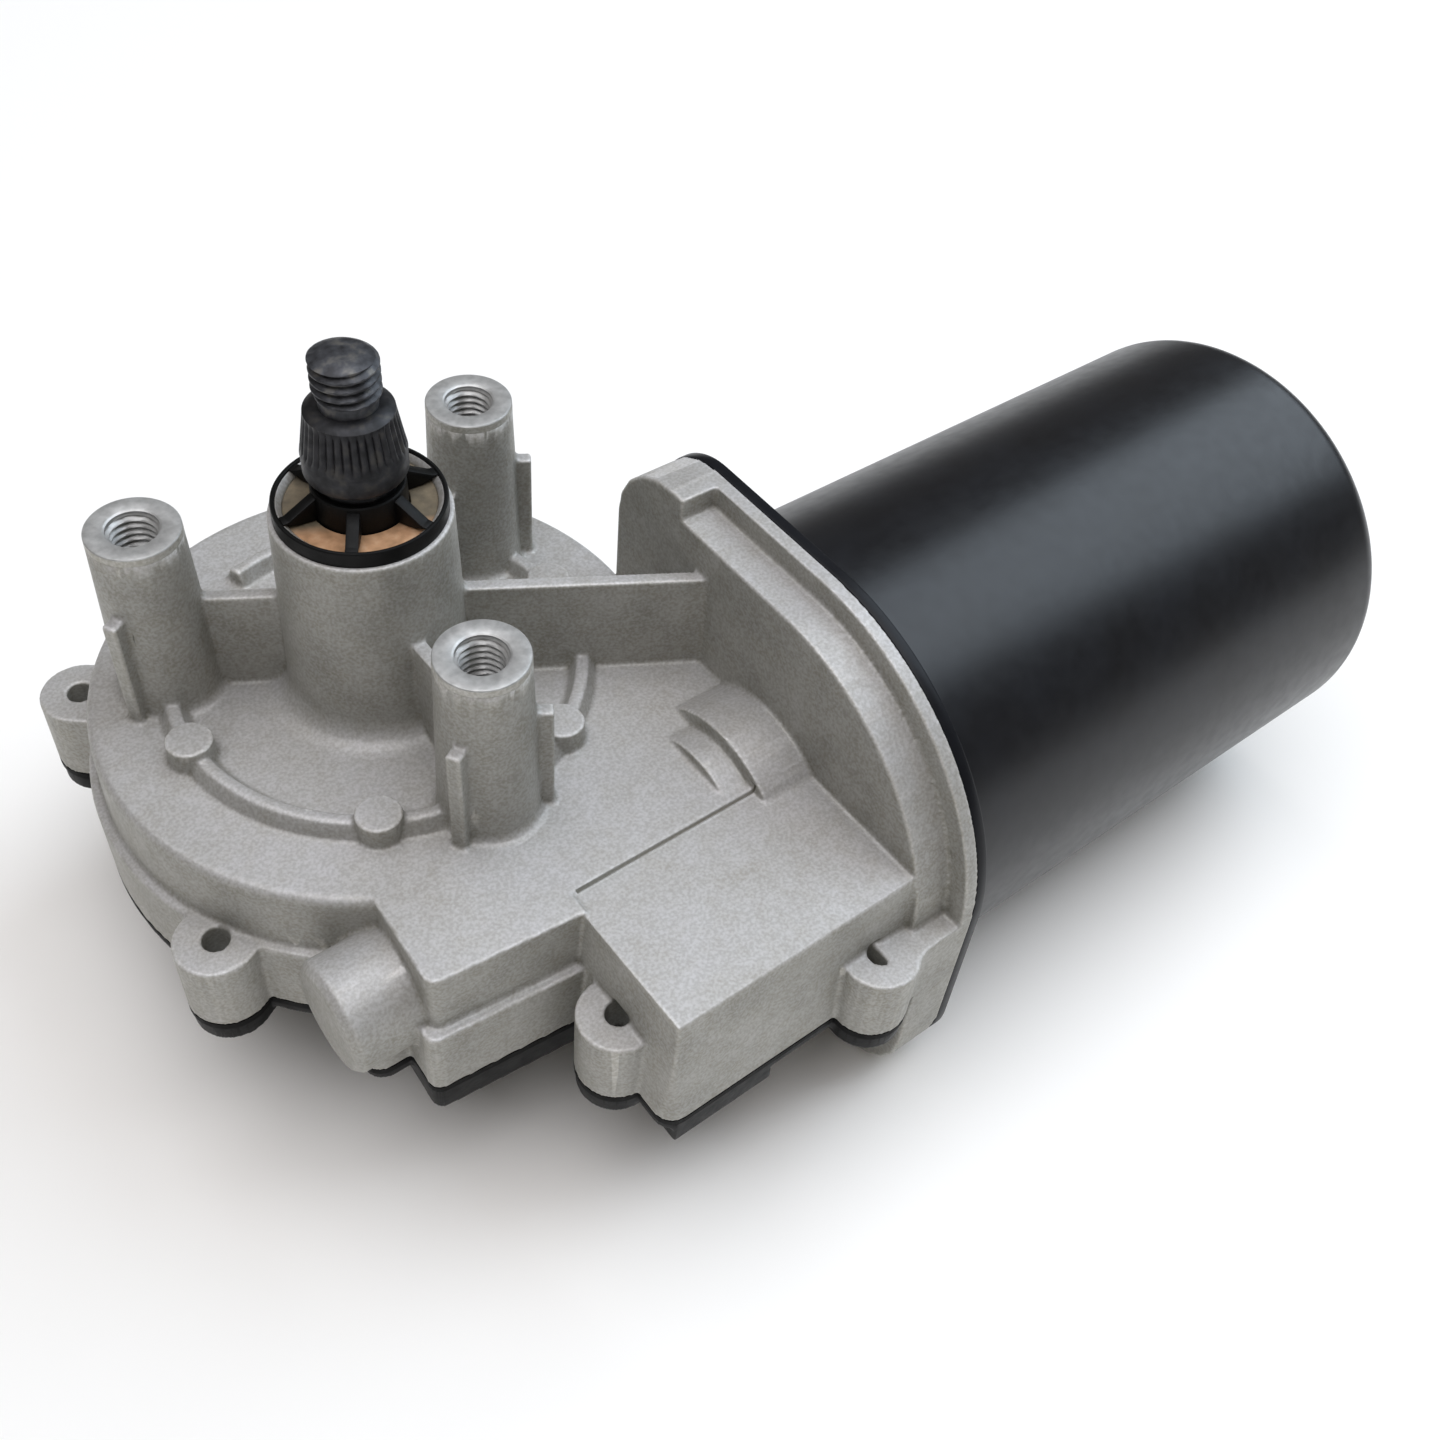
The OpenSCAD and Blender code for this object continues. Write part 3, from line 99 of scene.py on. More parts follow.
# Gear housing
# One aluminium die casting with the gear chamber, nose, box, pillars, walls and motor flange.
# Its skin is as cast, pale grey and sandy, with a painted highlight on the edges and painted shade in the
# corners.
# The shape is a voxel copy of the CAD node, smoothed and thinned out, so that all edges round over.
PILLAR_R = 0.0336
PILLAR_ANGLES = (150, 270, 30)
DECK_Z = -0.0333
CAST_VOXEL = 0.00038
CAST_FACES = 185000
TOP_COLUMNS = 72
THREAD_ROOM = ((-0.0248, 0), (-0.0248, 0.0044), (-0.0012, 0.0044), (-0.0012, 0.0090), (0.0010, 0.0090),
               (0.0010, 0))
STEP_AT = (0.0188, -0.0556, DECK_Z)
STEP_SIZE = (0.0348, 0.00042, 0.0022)
LUG_WEB = ((0.0392, -0.0914), (0.0414, -0.0912), (0.0475, -0.0893), (0.0475, -0.0800), (0.0392, -0.0800))
LUG_WEB_Z = -0.0601
LUG_WEB_H = 0.0143


def linear(hex_colour):
    parts = [int(hex_colour[i:i + 2], 16) / 255 for i in (1, 3, 5)]
    return [p / 12.92 if p <= 0.04045 else ((p + 0.055) / 1.055) ** 2.4 for p in parts] + [1]


def add(tree, kind, inputs=None, stops=(), **settings):
    """Adds a node with its settings, a ramp's stops, and a value or a link for each input."""
    node = tree.nodes.new(kind)
    for key, value in settings.items():
        setattr(node, key, value)
    for i, (place, colour) in enumerate(stops):
        ramp = node.color_ramp.elements
        element = ramp[i] if i < len(ramp) else ramp.new(1)
        element.position = place
        element.color = linear(colour)
    return connect(tree, node, inputs or {})


def connect(tree, node, inputs):
    """Gives each input a value, or a link from a socket or from a node's first live output."""
    for key, value in inputs.items():
        if isinstance(value, bpy.types.Node):
            value = next(output for output in value.outputs if output.enabled)
        if isinstance(value, bpy.types.NodeSocket):
            tree.links.new(value, node.inputs[key])
        else:
            node.inputs[key].default_value = value
    return node


def new_finish(name, metallic=0.0, shine=0.5, roughness=0.5):
    """A material, its nodes, its shader and the places that its patterns follow."""
    material = bpy.data.materials.new(name)
    material.use_nodes = True
    tree = material.node_tree
    values = {"Metallic": metallic, "Roughness": roughness, "Specular IOR Level": shine}
    shader = connect(tree, tree.nodes["Principled BSDF"], values)
    return material, tree, shader, add(tree, "ShaderNodeTexCoord").outputs


def clouds(tree, at, scale, detail, stops):
    """Colour that changes softly. A pattern's scale counts its cells in a metre, so 100 makes 10 mm."""
    cells = add(tree, "ShaderNodeTexNoise", {"Vector": at["Object"], "Scale": scale, "Detail": detail})
    return add(tree, "ShaderNodeValToRGB", {"Fac": cells}, stops)


def patches(tree, at, scale, detail, smooth, rough):
    """Roughness between two values. Nearly all of a noise pattern lies between 0.3 and 0.7."""
    cells = add(tree, "ShaderNodeTexNoise", {"Vector": at["Object"], "Scale": scale, "Detail": detail})
    limits = {"From Min": 0.3, "From Max": 0.7, "To Min": smooth, "To Max": rough}
    return add(tree, "ShaderNodeMapRange", {"Value": cells, **limits})


def grain(tree, at, scale, detail, height, strength, under=None):
    """Relief of a height in metres, on top of another relief where one is given."""
    cells = add(tree, "ShaderNodeTexNoise", {"Vector": at["Object"], "Scale": scale, "Detail": detail})
    relief = {"Distance": height, "Strength": strength, "Height": cells}
    return add(tree, "ShaderNodeBump", {**relief, "Normal": under} if under else relief)


def cast_aluminium():
    """Die-cast aluminium. Clouds of about 1 cm, 2.5 mm blotches and a sandy grain of 0.5 mm, which is
    coarser than the real one so that it shows. Upright walls are painted darker and warmer than level tops,
    as painted shade."""
    material, tree, shader, at = new_finish("cast_aluminium_finish", metallic=0.3)
    tops = clouds(tree, at, 70, 4, [(0.3, "#A7A39F"), (0.5, "#B1AEAD"), (0.7, "#B8B5B7")])
    # Painted shade: upright walls get this darker, warmer colour and level tops get the one above, mixed by
    # how far a face points up.
    painted_shade_walls = clouds(tree, at, 110, 4, [(0.3, "#78766A"), (0.5, "#8F8D82"), (0.7, "#A09E96")])
    blotches = clouds(tree, at, 380, 4, [(0.34, "#A09C92"), (0.5, "#ADABA7"), (0.64, "#B6B5B3")])
    sand = clouds(tree, at, 1900, 2, [(0.36, "#908D86"), (0.5, "#ADABA7"), (0.62, "#C6C5C4")])
    upward = add(tree, "ShaderNodeSeparateXYZ", {"Vector": at["Normal"]}).outputs["Z"]
    lit_top_share = add(tree, "ShaderNodeMapRange", {"Value": upward, "From Min": 0.15, "From Max": 0.85})
    # Pointiness is below 0.5 in corners, which are painted darker as painted shade, and above it on edges,
    # which get a painted highlight.
    corners = add(tree, "ShaderNodeNewGeometry").outputs["Pointiness"]
    edges = add(tree, "ShaderNodeValToRGB", {"Fac": corners},
                [(0.44, "#86847A"), (0.49, "#BCBCBC"), (0.51, "#BCBCBC"), (0.56, "#E4E4E4")])
    skin = painted_shade_walls
    for factor, colour, mode in ((lit_top_share, tops, "MIX"), (0.32, blotches, "MIX"), (0.32, sand, "MIX"),
                                 (0.75, edges, "OVERLAY")):
        skin = add(tree, "ShaderNodeMix", {"Factor": factor, "A": skin, "B": colour}, data_type="RGBA",
                   blend_type=mode)
    blotched = grain(tree, at, 420, 2, 0.00004, 0.4)
    connect(tree, shader, {
        "Base Color": skin,
        "Roughness": patches(tree, at, 420, 3, 0.46, 0.6),
        "Normal": grain(tree, at, 2000, 2, 0.00005, 0.6, blotched),
    })
    return material


def new_object(name, mesh, material, body):
    obj = bpy.data.objects.new(name, mesh)
    bpy.context.scene.collection.objects.link(obj)
    mesh.materials.append(material)
    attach(obj, body)
    return obj


def from_bmesh(bm, name):
    mesh = bpy.data.meshes.new(name)
    bm.to_mesh(mesh)
    bm.free()
    return mesh


def add_modifier(obj, kind, **values):
    modifier = obj.modifiers.new(kind.lower(), kind)
    for key, value in values.items():
        setattr(modifier, key, value)


def apply_modifiers(obj):
    graph = bpy.context.evaluated_depsgraph_get()
    mesh = bpy.data.meshes.new_from_object(obj.evaluated_get(graph))
    obj.modifiers.clear()
    obj.data = mesh


def shade_smooth(mesh, angle=None):
    """Smooth shading, with creases kept where faces meet at more than the angle in degrees."""
    mesh.polygons.foreach_set("use_smooth", [True] * len(mesh.polygons))
    if angle:
        mesh.set_sharp_from_angle(angle=math.radians(angle))


def softened(node, name, voxel, rounds, faces, more=None):
    """A merged copy of a CAD node, its edges rounded over about one voxel after more(bm) adds to it."""
    bm = bmesh.new()
    bm.from_mesh(nodes[node].data)
    bmesh.ops.remove_doubles(bm, verts=bm.verts, dist=1e-7)
    if more:
        more(bm)
    obj = bpy.data.objects.new(name, from_bmesh(bm, name))
    bpy.context.scene.collection.objects.link(obj)
    add_modifier(obj, "REMESH", mode="VOXEL", voxel_size=voxel, adaptivity=0.0)
    add_modifier(obj, "SMOOTH", factor=0.5, iterations=rounds)
    apply_modifiers(obj)
    triangles = 2 * len(obj.data.polygons)
    if triangles > faces:
        add_modifier(obj, "DECIMATE", ratio=faces / triangles)
        apply_modifiers(obj)
    return obj


def dress_copy(obj, material, node):
    """Puts a finished copy in place of its CAD node."""
    obj.data.materials.append(material)
    shade_smooth(obj.data)
    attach(obj, "housing")
    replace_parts(obj, node)


def prism(bm, outline, depth):
    """Extrudes a face from its outline of points by the vector depth, and keeps both ends."""
    face = bm.faces.new([bm.verts.new(point) for point in outline])
    other = bmesh.ops.extrude_face_region(bm, geom=[face], use_keep_orig=True)["geom"]
    bmesh.ops.translate(bm, verts=[v for v in other if isinstance(v, bmesh.types.BMVert)], vec=depth)


def fill_front_notch(bm):
    """Joins the front lug to the motor flange, as the photograph shows."""
    prism(bm, [(x, y, LUG_WEB_Z) for x, y in LUG_WEB], (0, 0, LUG_WEB_H))


def spun(profile, columns, loop=False):
    """Spins a chain of (height, radius) points about Z. A radius of 0 closes an end."""
    bm = bmesh.new()
    points = [bm.verts.new((r, 0, z)) for z, r in profile]
    if loop:
        points.append(points[0])
    for a, b in zip(points, points[1:]):
        bm.edges.new((a, b))
    bmesh.ops.spin(bm, geom=bm.verts[:] + bm.edges[:], axis=(0, 0, 1), cent=(0, 0, 0), angle=2 * math.pi,
                   steps=columns, use_merge=True)
    bmesh.ops.remove_doubles(bm, verts=bm.verts, dist=1e-7)
    bmesh.ops.recalc_face_normals(bm, faces=bm.faces)
    return bm


def pillar_place(index):
    a = math.radians(PILLAR_ANGLES[index])
    return Matrix.Translation((PILLAR_R * math.cos(a), PILLAR_R * math.sin(a), 0))


def cut_away(obj, bm):
    """Takes the shape bm away from obj."""
    cutter = bpy.data.objects.new("cutter", from_bmesh(bm, "cutter"))
    bpy.context.scene.collection.objects.link(cutter)
    add_modifier(obj, "BOOLEAN", operation="DIFFERENCE", object=cutter, solver="EXACT")
    apply_modifiers(obj)
    bpy.data.objects.remove(cutter)


def cut_details(obj):
    """Cuts room for the pillars' turned tops and the sharp line between the deck and the box top."""
    for index in range(3):
        bm = spun(THREAD_ROOM, TOP_COLUMNS)
        bm.transform(pillar_place(index))
        cut_away(obj, bm)
    bm = bmesh.new()
    bmesh.ops.create_cube(bm, size=1, matrix=Matrix.Translation(STEP_AT) @ Matrix.Diagonal((*STEP_SIZE, 1)))
    cut_away(obj, bm)


CAST = cast_aluminium()
casting = softened("gear_housing", "casting", CAST_VOXEL, 1, CAST_FACES, fill_front_notch)
cut_details(casting)
dress_copy(casting, CAST, "gear_housing")


# Pillar tops
# Each pillar ends in a face that is turned after casting, brighter and smoother than the skin.
# The turns of an M8 thread line its hole and run out into a small chamfer.
HOLE_R = 0.00401
HOLE_LOW_Z = -0.0236
HOLE_ROWS = 170
SLEEVE_R = 0.00445
SKIRT_Z = -0.0013
RIM_R = 0.0071
M8_PITCH = 0.00125
M8_DEPTH = 0.00061
RUN_OUT_Z = -0.0006
RUN_OUT_R = 0.0040
RUN_OUT_SLOPE = 0.8
FLANK_SLOPE = 2.6
ROOT_SHARE = 0.12


def surface(name, colours, roughness, relief, **values):
    """A finish of clouds, patches and grain, each given as that function's numbers."""
    material, tree, shader, at = new_finish(name, **values)
    connect(tree, shader, {
        "Base Color": clouds(tree, at, *colours),
        "Roughness": patches(tree, at, *roughness),
        "Normal": grain(tree, at, *relief),
    })
    return material


def turned_mesh(name, profile, columns=96, radius=None, place=None, smooth=35, loop=False):
    """A spun shape, each point of which is then moved to radius(z, angle, r) from the axis."""
    bm = spun(profile, columns, loop)
    if radius:
        for vert in bm.verts:
            x, y, z = vert.co
            r = math.hypot(x, y)
            if r > 1e-6:
                vert.co.xy *= radius(z, math.atan2(y, x) % (2 * math.pi), r) / r
        bmesh.ops.remove_doubles(bm, verts=bm.verts, dist=1e-7)
        bmesh.ops.recalc_face_normals(bm, faces=bm.faces)
    if place:
        bm.transform(place)
    mesh = from_bmesh(bm, name)
    shade_smooth(mesh, smooth)
    return mesh


def thread_wave(z, angle, pitch):
    """0 at a right-hand thread's root and 1 at its crest."""
    phase = (z / pitch - angle / (2 * math.pi)) % 1
    return min(1, max(0, FLANK_SLOPE * (0.5 - abs(phase - 0.5)) - ROOT_SHARE))


def threaded_hole(z, angle, r):
    """Raises the thread's turns inside the hole, lower towards the chamfer."""
    if abs(r - HOLE_R) > 1e-6:
        return r
    crest = r - M8_DEPTH * thread_wave(z, angle, M8_PITCH)
    return max(crest, min(r, RUN_OUT_R + (z - RUN_OUT_Z) * RUN_OUT_SLOPE))


def pillar_top(index):
    inner = [(z, HOLE_R) for z in np.linspace(HOLE_LOW_Z, -0.0002, HOLE_ROWS)]
    inner += [(-0.00005, 0.00425), (0.0, 0.00435)]
    outer = [(0.0, 0.0069), (-0.00004, 0.00703), (-0.00018, 0.00716), (SKIRT_Z, 0.00721)]
    sleeve = [(SKIRT_Z, SLEEVE_R), (HOLE_LOW_Z - 0.0002, SLEEVE_R)]
    place = pillar_place(index)
    mesh = turned_mesh(f"pillar_top_{index}", inner + outer + sleeve, TOP_COLUMNS, threaded_hole, place,
                       smooth=30, loop=True)
    new_object(mesh.name, mesh, MACHINED, "housing")
    mesh.materials.append(CAST)
    for face in mesh.polygons:
        if (face.center.xy - place.translation.xy).length > RIM_R:
            face.material_index = 1


# Turned aluminium has a fine even sheen, brighter than the cast skin round it.
MACHINED = surface("machined_aluminium_finish", (700, 2, [(0.3, "#A9A8A6"), (0.7, "#C3C2C0")]),
                   (500, 2, 0.34, 0.46), (1600, 2, 0.00003, 0.6), metallic=0.5)
for index in range(3):
    pillar_top(index)


# Output shaft
# A phosphated steel shaft, with a ground journal and collar, a tapered seat and an M10 thread.
# The seat has straight rolled knurls that bite into the crank arm. The thread is rubbed brighter.
TAPER_LOW_Z = 0.0143
TAPER_R = 0.00775
TAPER_SLOPE = 0.00115 / 0.0069
KNURLS = 36
KNURL_DEPTH = 0.00042
KNURL_LOW_Z = 0.0147
KNURL_HIGH_Z = 0.0211
KNURL_FADE = 0.0008
M10_PITCH = 0.0015
M10_R = 0.0050
M10_LOW_Z = 0.0238
M10_HIGH_Z = 0.0299
M10_DEPTH = 0.00079
M10_ROWS = 105
NECK_DEPTH = 0.0007
NECK_LOW_Z = 0.0222
TIP_SLOPE = 2.6
JOURNAL = ((-0.0535, 0), (-0.0535, 0.0055), (-0.0530, 0.0060), (0.0094, 0.0060), (0.0100, 0.00695),
           (0.0106, 0.00755), (0.0110, 0.00775), (0.0140, 0.00775), (0.0145, 0.00745), (0.0145, 0))


def phosphated_steel(name, dark, middle, light):
    """Dark phosphated steel in 2 mm clouds, a little brighter where it has been rubbed."""
    return surface(name, (500, 3, [(0.36, dark), (0.54, middle), (0.68, light)]), (800, 3, 0.38, 0.55),
                   (1500, 3, 0.00003, 0.6), metallic=0.55)


def knurl(z, angle, r):
    """Rounded ridges that fade out at the taper's two ends."""
    ridge = abs(math.sin(angle * KNURLS / 2)) ** 0.8
    fade = min(1, max(0, (z - KNURL_LOW_Z) / KNURL_FADE), max(0, (KNURL_HIGH_Z - z) / KNURL_FADE))
    return r - KNURL_DEPTH * (1 - ridge) * fade


def crank_thread(z, angle, r):
    """A plain neck below, and the thread's turns from there to the tip."""
    if r < 0.0029 or z < NECK_LOW_Z - 0.0003:
        return r
    turned = min(1, max(0, (z - M10_LOW_Z) / 0.0006))
    root = NECK_DEPTH + (M10_DEPTH - NECK_DEPTH) * turned
    return min(r, M10_R - root + M10_DEPTH * turned * thread_wave(z, angle, M10_PITCH))


def output_shaft():
    taper = [(0.0139, 0)]
    taper += [(z, TAPER_R - TAPER_SLOPE * (z - TAPER_LOW_Z)) for z in np.linspace(0.0141, 0.0213, 13)]
    taper += [(0.0216, 0.0061), (0.0219, 0.0055), (0.0221, 0.0046), (0.0222, 0)]
    thread = [(0.0216, 0), (0.0216, 0.0042)]
    thread += [(z, M10_R) for z in np.linspace(NECK_LOW_Z, M10_HIGH_Z, M10_ROWS)]
    thread += [(z, M10_R - TIP_SLOPE * (z - M10_HIGH_Z)) for z in (0.0301, 0.0303, 0.0305)]
    thread += [(0.0306, 0.0029), (0.0307, 0.0025), (0.0307, 0)]
    dark = phosphated_steel("phosphated_steel_finish", "#202022", "#2F2F32", "#413F3D")
    rubbed = phosphated_steel("rubbed_steel_finish", "#333336", "#4C4D51", "#6A6865")
    for mesh, finish in (
        (turned_mesh("shaft_journal", JOURNAL), dark),
        (turned_mesh("knurled_taper", taper, KNURLS * 8, knurl, smooth=30), dark),
        (turned_mesh("crank_thread", thread, 96, crank_thread), rubbed),
    ):
        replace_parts(new_object(mesh.name, mesh, finish, "output"), "output_shaft")
    return dark


SHAFT = output_shaft()


# Boss cap
# A black moulded plastic cap clipped on the boss: a thin ring, and six fins that rise to a hub under
# the shaft's collar. Inside the ring lie the boss's bevelled lip and a washer of tan pressed fibre.
CAP_COLUMNS = 144
CAP_RING = ((0.00255, 0.01243), (0.00470, 0.01245), (0.00500, 0.01250), (0.00512, 0.01262), (0.00515, 0.01280),
            (0.00508, 0.01302), (0.00490, 0.01316), (0.00460, 0.01320), (0.00255, 0.01320))
CAP_HUB = ((-0.0012, 0.00625), (0.0082, 0.00625), (0.0084, 0.0064), (0.0084, 0.0069), (0.0082, 0.0071),
           (0.0060, 0.0072), (-0.0012, 0.0072))
FIN_SIDE = ((0.0071, 0.00385), (0.0101, 0.0040), (0.0122, 0.0048), (0.01245, 0.0048), (0.01245, 0.0050),
            (0.0116, 0.0051), (0.0071, 0.0078))
FINS = 6
FIN_W = 0.0019
FIN_EDGE = 0.00014
FIN_START = 55
LIP = ((0.00250, 0.01155), (0.00372, 0.01155), (0.00395, 0.01162), (0.00462, 0.01222), (0.00474, 0.01232),
       (0.00465, 0.01241), (0.00250, 0.01241))
WASHER = ((-0.0027, 0.0074), (0.0036, 0.0074), (0.0037, 0.0075), (0.0037, 0.0114), (0.0036, 0.0115),
          (-0.0027, 0.0115))
# The washer is painted darker as painted shade on the side away from this direction, and is full tan towards
# it, across the two distances below.
LIT_SIDE = (-0.42, -0.907, 0)
SHADE_END = 0.0042
LIT_FROM = 0.0064


def plastic(name, dark, light, roughness=0.45, scale=1200, height=0.00004, shine=0.5):
    """Moulded plastic or rubber: even colour in 8 mm clouds, and the fine grain of its mould."""
    return surface(name, (120, 3, [(0.3, dark), (0.7, light)]),
                   (scale / 3, 2, roughness - 0.06, roughness + 0.08), (scale, 2, height, 0.7), shine=shine)


def pressed_fibre():
    """Flecked, matt tan fibre, painted a darker grey-brown as painted shade on the side away from the box."""
    material, tree, shader, at = new_finish("pressed_fibre_finish")
    lit_fibre = clouds(tree, at, 500, 4, [(0.3, "#94704F"), (0.55, "#B58A66"), (0.75, "#C4A07F")])
    # Painted shade: the darker grey-brown colour of the washer's far side.
    painted_shade_fibre = clouds(tree, at, 400, 3, [(0.3, "#5A5142"), (0.6, "#786B56"), (0.75, "#8F8069")])
    towards = add(tree, "ShaderNodeVectorMath", {0: at["Object"], 1: LIT_SIDE}, operation="DOT_PRODUCT")
    limits = {"From Min": SHADE_END, "From Max": LIT_FROM}
    lit_share = add(tree, "ShaderNodeMapRange", {"Value": towards, **limits})
    connect(tree, shader, {
        "Base Color": add(tree, "ShaderNodeMix", {"Factor": lit_share, "A": painted_shade_fibre, "B": lit_fibre}, data_type="RGBA"),
        "Roughness": patches(tree, at, 300, 2, 0.55, 0.75),
        "Normal": grain(tree, at, 1400, 3, 0.00006, 0.8),
    })
    return material


def cap_fins():
    bm = bmesh.new()
    for i in range(FINS):
        turn = Matrix.Rotation(math.radians(FIN_START + 360 / FINS * i), 4, "Z")
        prism(bm, [turn @ Vector((x, -FIN_W / 2, z)) for x, z in FIN_SIDE], turn @ Vector((0, FIN_W, 0)))
    bmesh.ops.recalc_face_normals(bm, faces=bm.faces)
    bmesh.ops.bevel(bm, geom=bm.edges[:], offset=FIN_EDGE, affect="EDGES", segments=2, profile=0.5,
                    material=-1)
    mesh = from_bmesh(bm, "cap_spokes")
    shade_smooth(mesh, 40)
    return mesh


BLACK_PLASTIC = plastic("moulded_plastic_finish", "#0C0C0C", "#151515", 0.42, shine=0.14)
FIBRE = pressed_fibre()
for name, profile in (("cap_ring", CAP_RING), ("cap_hub", CAP_HUB)):
    mesh = turned_mesh(name, profile, CAP_COLUMNS, smooth=30, loop=True)
    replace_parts(new_object(name, mesh, BLACK_PLASTIC, "housing"), "boss_cap")
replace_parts(new_object("cap_spokes", cap_fins(), BLACK_PLASTIC, "housing"), "boss_cap")
mesh = turned_mesh("boss_lip", LIP, CAP_COLUMNS, smooth=30, loop=True)
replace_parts(new_object("boss_lip", mesh, CAST, "housing"), "gear_housing")
mesh = turned_mesh("tan_washer", WASHER, CAP_COLUMNS, smooth=30, loop=True)
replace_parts(new_object("tan_washer", mesh, FIBRE, "housing"), "sealing_washer")


# Bottom cover
# One moulded black tray that closes the case, with ribs outside and the connector socket.
# It is made from its CAD node as the casting is.
COVER_VOXEL = 0.00035
COVER_FACES = 70000

cover = softened("bottom_cover", "moulded_cover", COVER_VOXEL, 2, COVER_FACES)
dress_copy(cover, BLACK_PLASTIC, "bottom_cover")


# Motor can
# A deep-drawn steel can with a bearing cup in its end, and a flange plate with two opposite ears.
# Both are sprayed in black satin paint.
MOTOR = Matrix(((0, 0, 1, 0), (1, 0, 0, -0.04625), (0, 1, 0, -0.0468), (0, 0, 0, 1)))
CAN_R = 0.0408
CAN_WALL = 0.0018
JOINT_X = 0.0556
CAN_X = 0.0578
CAN_END = 0.1665
CAN_BEND = 0.005
CUP_R = 0.00982
CUP_END = CAN_END + 0.0045
CUP_BEND = 0.0015
FOOT_BEND = 0.0012
EAR_R = 0.0435
EAR_CORNER = 0.014
PLATE_EDGE = 0.0004
CAN_COLUMNS = 192
PLATE_COLUMNS = 360


def can_paint(name, shine):
    """Sprayed black satin enamel. Its faint orange peel of 1.4 mm softens the reflections."""
    return surface(name, (90, 3, [(0.3, "#131316"), (0.7, "#191A1E")]), (400, 2, 0.31, 0.37),
                   (700, 2, 0.00002, 0.4), shine=shine)


def bend(z, r, radius, a0, a1, steps):
    """Points of a round bend about (z, r), from angle a0 to a1 measured from the radius."""
    angles = [math.radians(a0 + (a1 - a0) * i / steps) for i in range(steps + 1)]
    return [(z + radius * math.sin(a), r + radius * math.cos(a)) for a in angles]


def can_profile():
    outer = [(CUP_END, 0)] + bend(CUP_END - CUP_BEND, CUP_R - CUP_BEND, CUP_BEND, 90, 0, 5)
    outer += [(CAN_END + 0.0006, CUP_R), (CAN_END + 0.0002, CUP_R + 0.0003), (CAN_END, CUP_R + 0.001)]
    outer += bend(CAN_END - CAN_BEND, CAN_R - CAN_BEND, CAN_BEND, 90, 0, 10)
    outer += [(z, CAN_R) for z in np.linspace(CAN_END - 0.012, CAN_X + 0.002, 9)]
    outer += bend(CAN_X + FOOT_BEND, CAN_R + FOOT_BEND, FOOT_BEND, 180, 270, 4)
    inner = [(JOINT_X + 0.0002, CAN_R + 0.0010), (JOINT_X + 0.0002, CAN_R - CAN_WALL)]
    inner += [(CAN_END - CAN_WALL - 0.0032, CAN_R - CAN_WALL), (CAN_END - CAN_WALL, CAN_R - CAN_BEND)]
    inner += [(CAN_END - CAN_WALL, 0.0081), (CUP_END - CAN_WALL, 0.0080), (CUP_END - CAN_WALL, 0)]
    return outer + inner


def plate_profile():
    low = [(0, CAN_R - 0.001), (0, EAR_R - PLATE_EDGE), (PLATE_EDGE * 0.3, EAR_R - PLATE_EDGE * 0.3),
           (PLATE_EDGE, EAR_R)]
    thick = CAN_X - JOINT_X
    return [(JOINT_X + z, r) for z, r in low + [(thick - z, r) for z, r in reversed(low)]]


def ear_radius(a):
    """Distance from the motor axis to the flange plate's edge at an angle."""
    a = a % math.pi
    if a >= math.pi / 2:
        return EAR_R
    c = math.cos(a)
    s = math.sin(a)
    centre = EAR_R - EAR_CORNER
    if EAR_R * s <= centre * c:
        return EAR_R / c
    if EAR_R * c <= centre * s:
        return EAR_R / s
    b = centre * (c + s)
    return b + math.sqrt(b * b - 2 * centre * centre + EAR_CORNER * EAR_CORNER)


def plate_outline(z, angle, r):
    """Keeps the plate's hole round and draws its edge out to the ears."""
    return r if r < EAR_R - 0.001 else ear_radius(angle) - (EAR_R - r)


PAINT = can_paint("can_paint_finish", 0.42)
PLATE_PAINT = can_paint("plate_paint_finish", 0.16)
mesh = turned_mesh("can_body", can_profile(), CAN_COLUMNS, place=MOTOR, smooth=40)
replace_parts(new_object("can_body", mesh, PAINT, "housing"), "pole_housing")
mesh = turned_mesh("can_flange", plate_profile(), PLATE_COLUMNS, plate_outline, MOTOR, smooth=40, loop=True)
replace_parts(new_object("can_flange", mesh, PLATE_PAINT, "housing"), "pole_housing")


# Fasteners
# Two hexagon screws with washer faces hold the can, and five pan heads with a cross recess the cover.
# All are zinc plated steel.
EAR_AT = 0.0335
HEX_R = 0.0046
HEX_SCREW = ((-0.0087, 0), (-0.0087, 0.0025), (0.0, 0.0025), (0.0, 0.0053), (0.0002, 0.0055), (0.0007, 0.0055),
             (0.0010, 0.0052), (0.0011, 0.0048), (0.0011, HEX_R), (0.0034, HEX_R), (0.0038, 0.00435),
             (0.0040, 0.0040), (0.0040, 0.0034), (0.0037, 0.0029), (0.0037, 0))
LUGS = ((-0.04026, 0.03463), (-0.04395, -0.02446), (0.03069, 0.04382), (-0.0010, -0.0707), (0.0392, -0.08575))
COVER_HEAD_Z = -0.0649
SCREW_LONG = 0.0120
SCREW_R = 0.0020
PAN_R = 0.0036
PAN_H = 0.0020
RECESS_HALF_W = 0.00048
RECESS_REACH = 0.0019
RECESS_DEPTH = 0.0011


def plain_metal(name, dark, light, roughness, scale=900, metallic=1.0, height=0.00003):
    """Bare or plated metal: a fine grain, and clouds of tarnish six times as wide."""
    return surface(name, (scale / 6, 3, [(0.3, dark), (0.7, light)]),
                   (scale, 3, roughness - 0.05, roughness + 0.08), (scale, 3, height, 0.6), metallic=metallic)


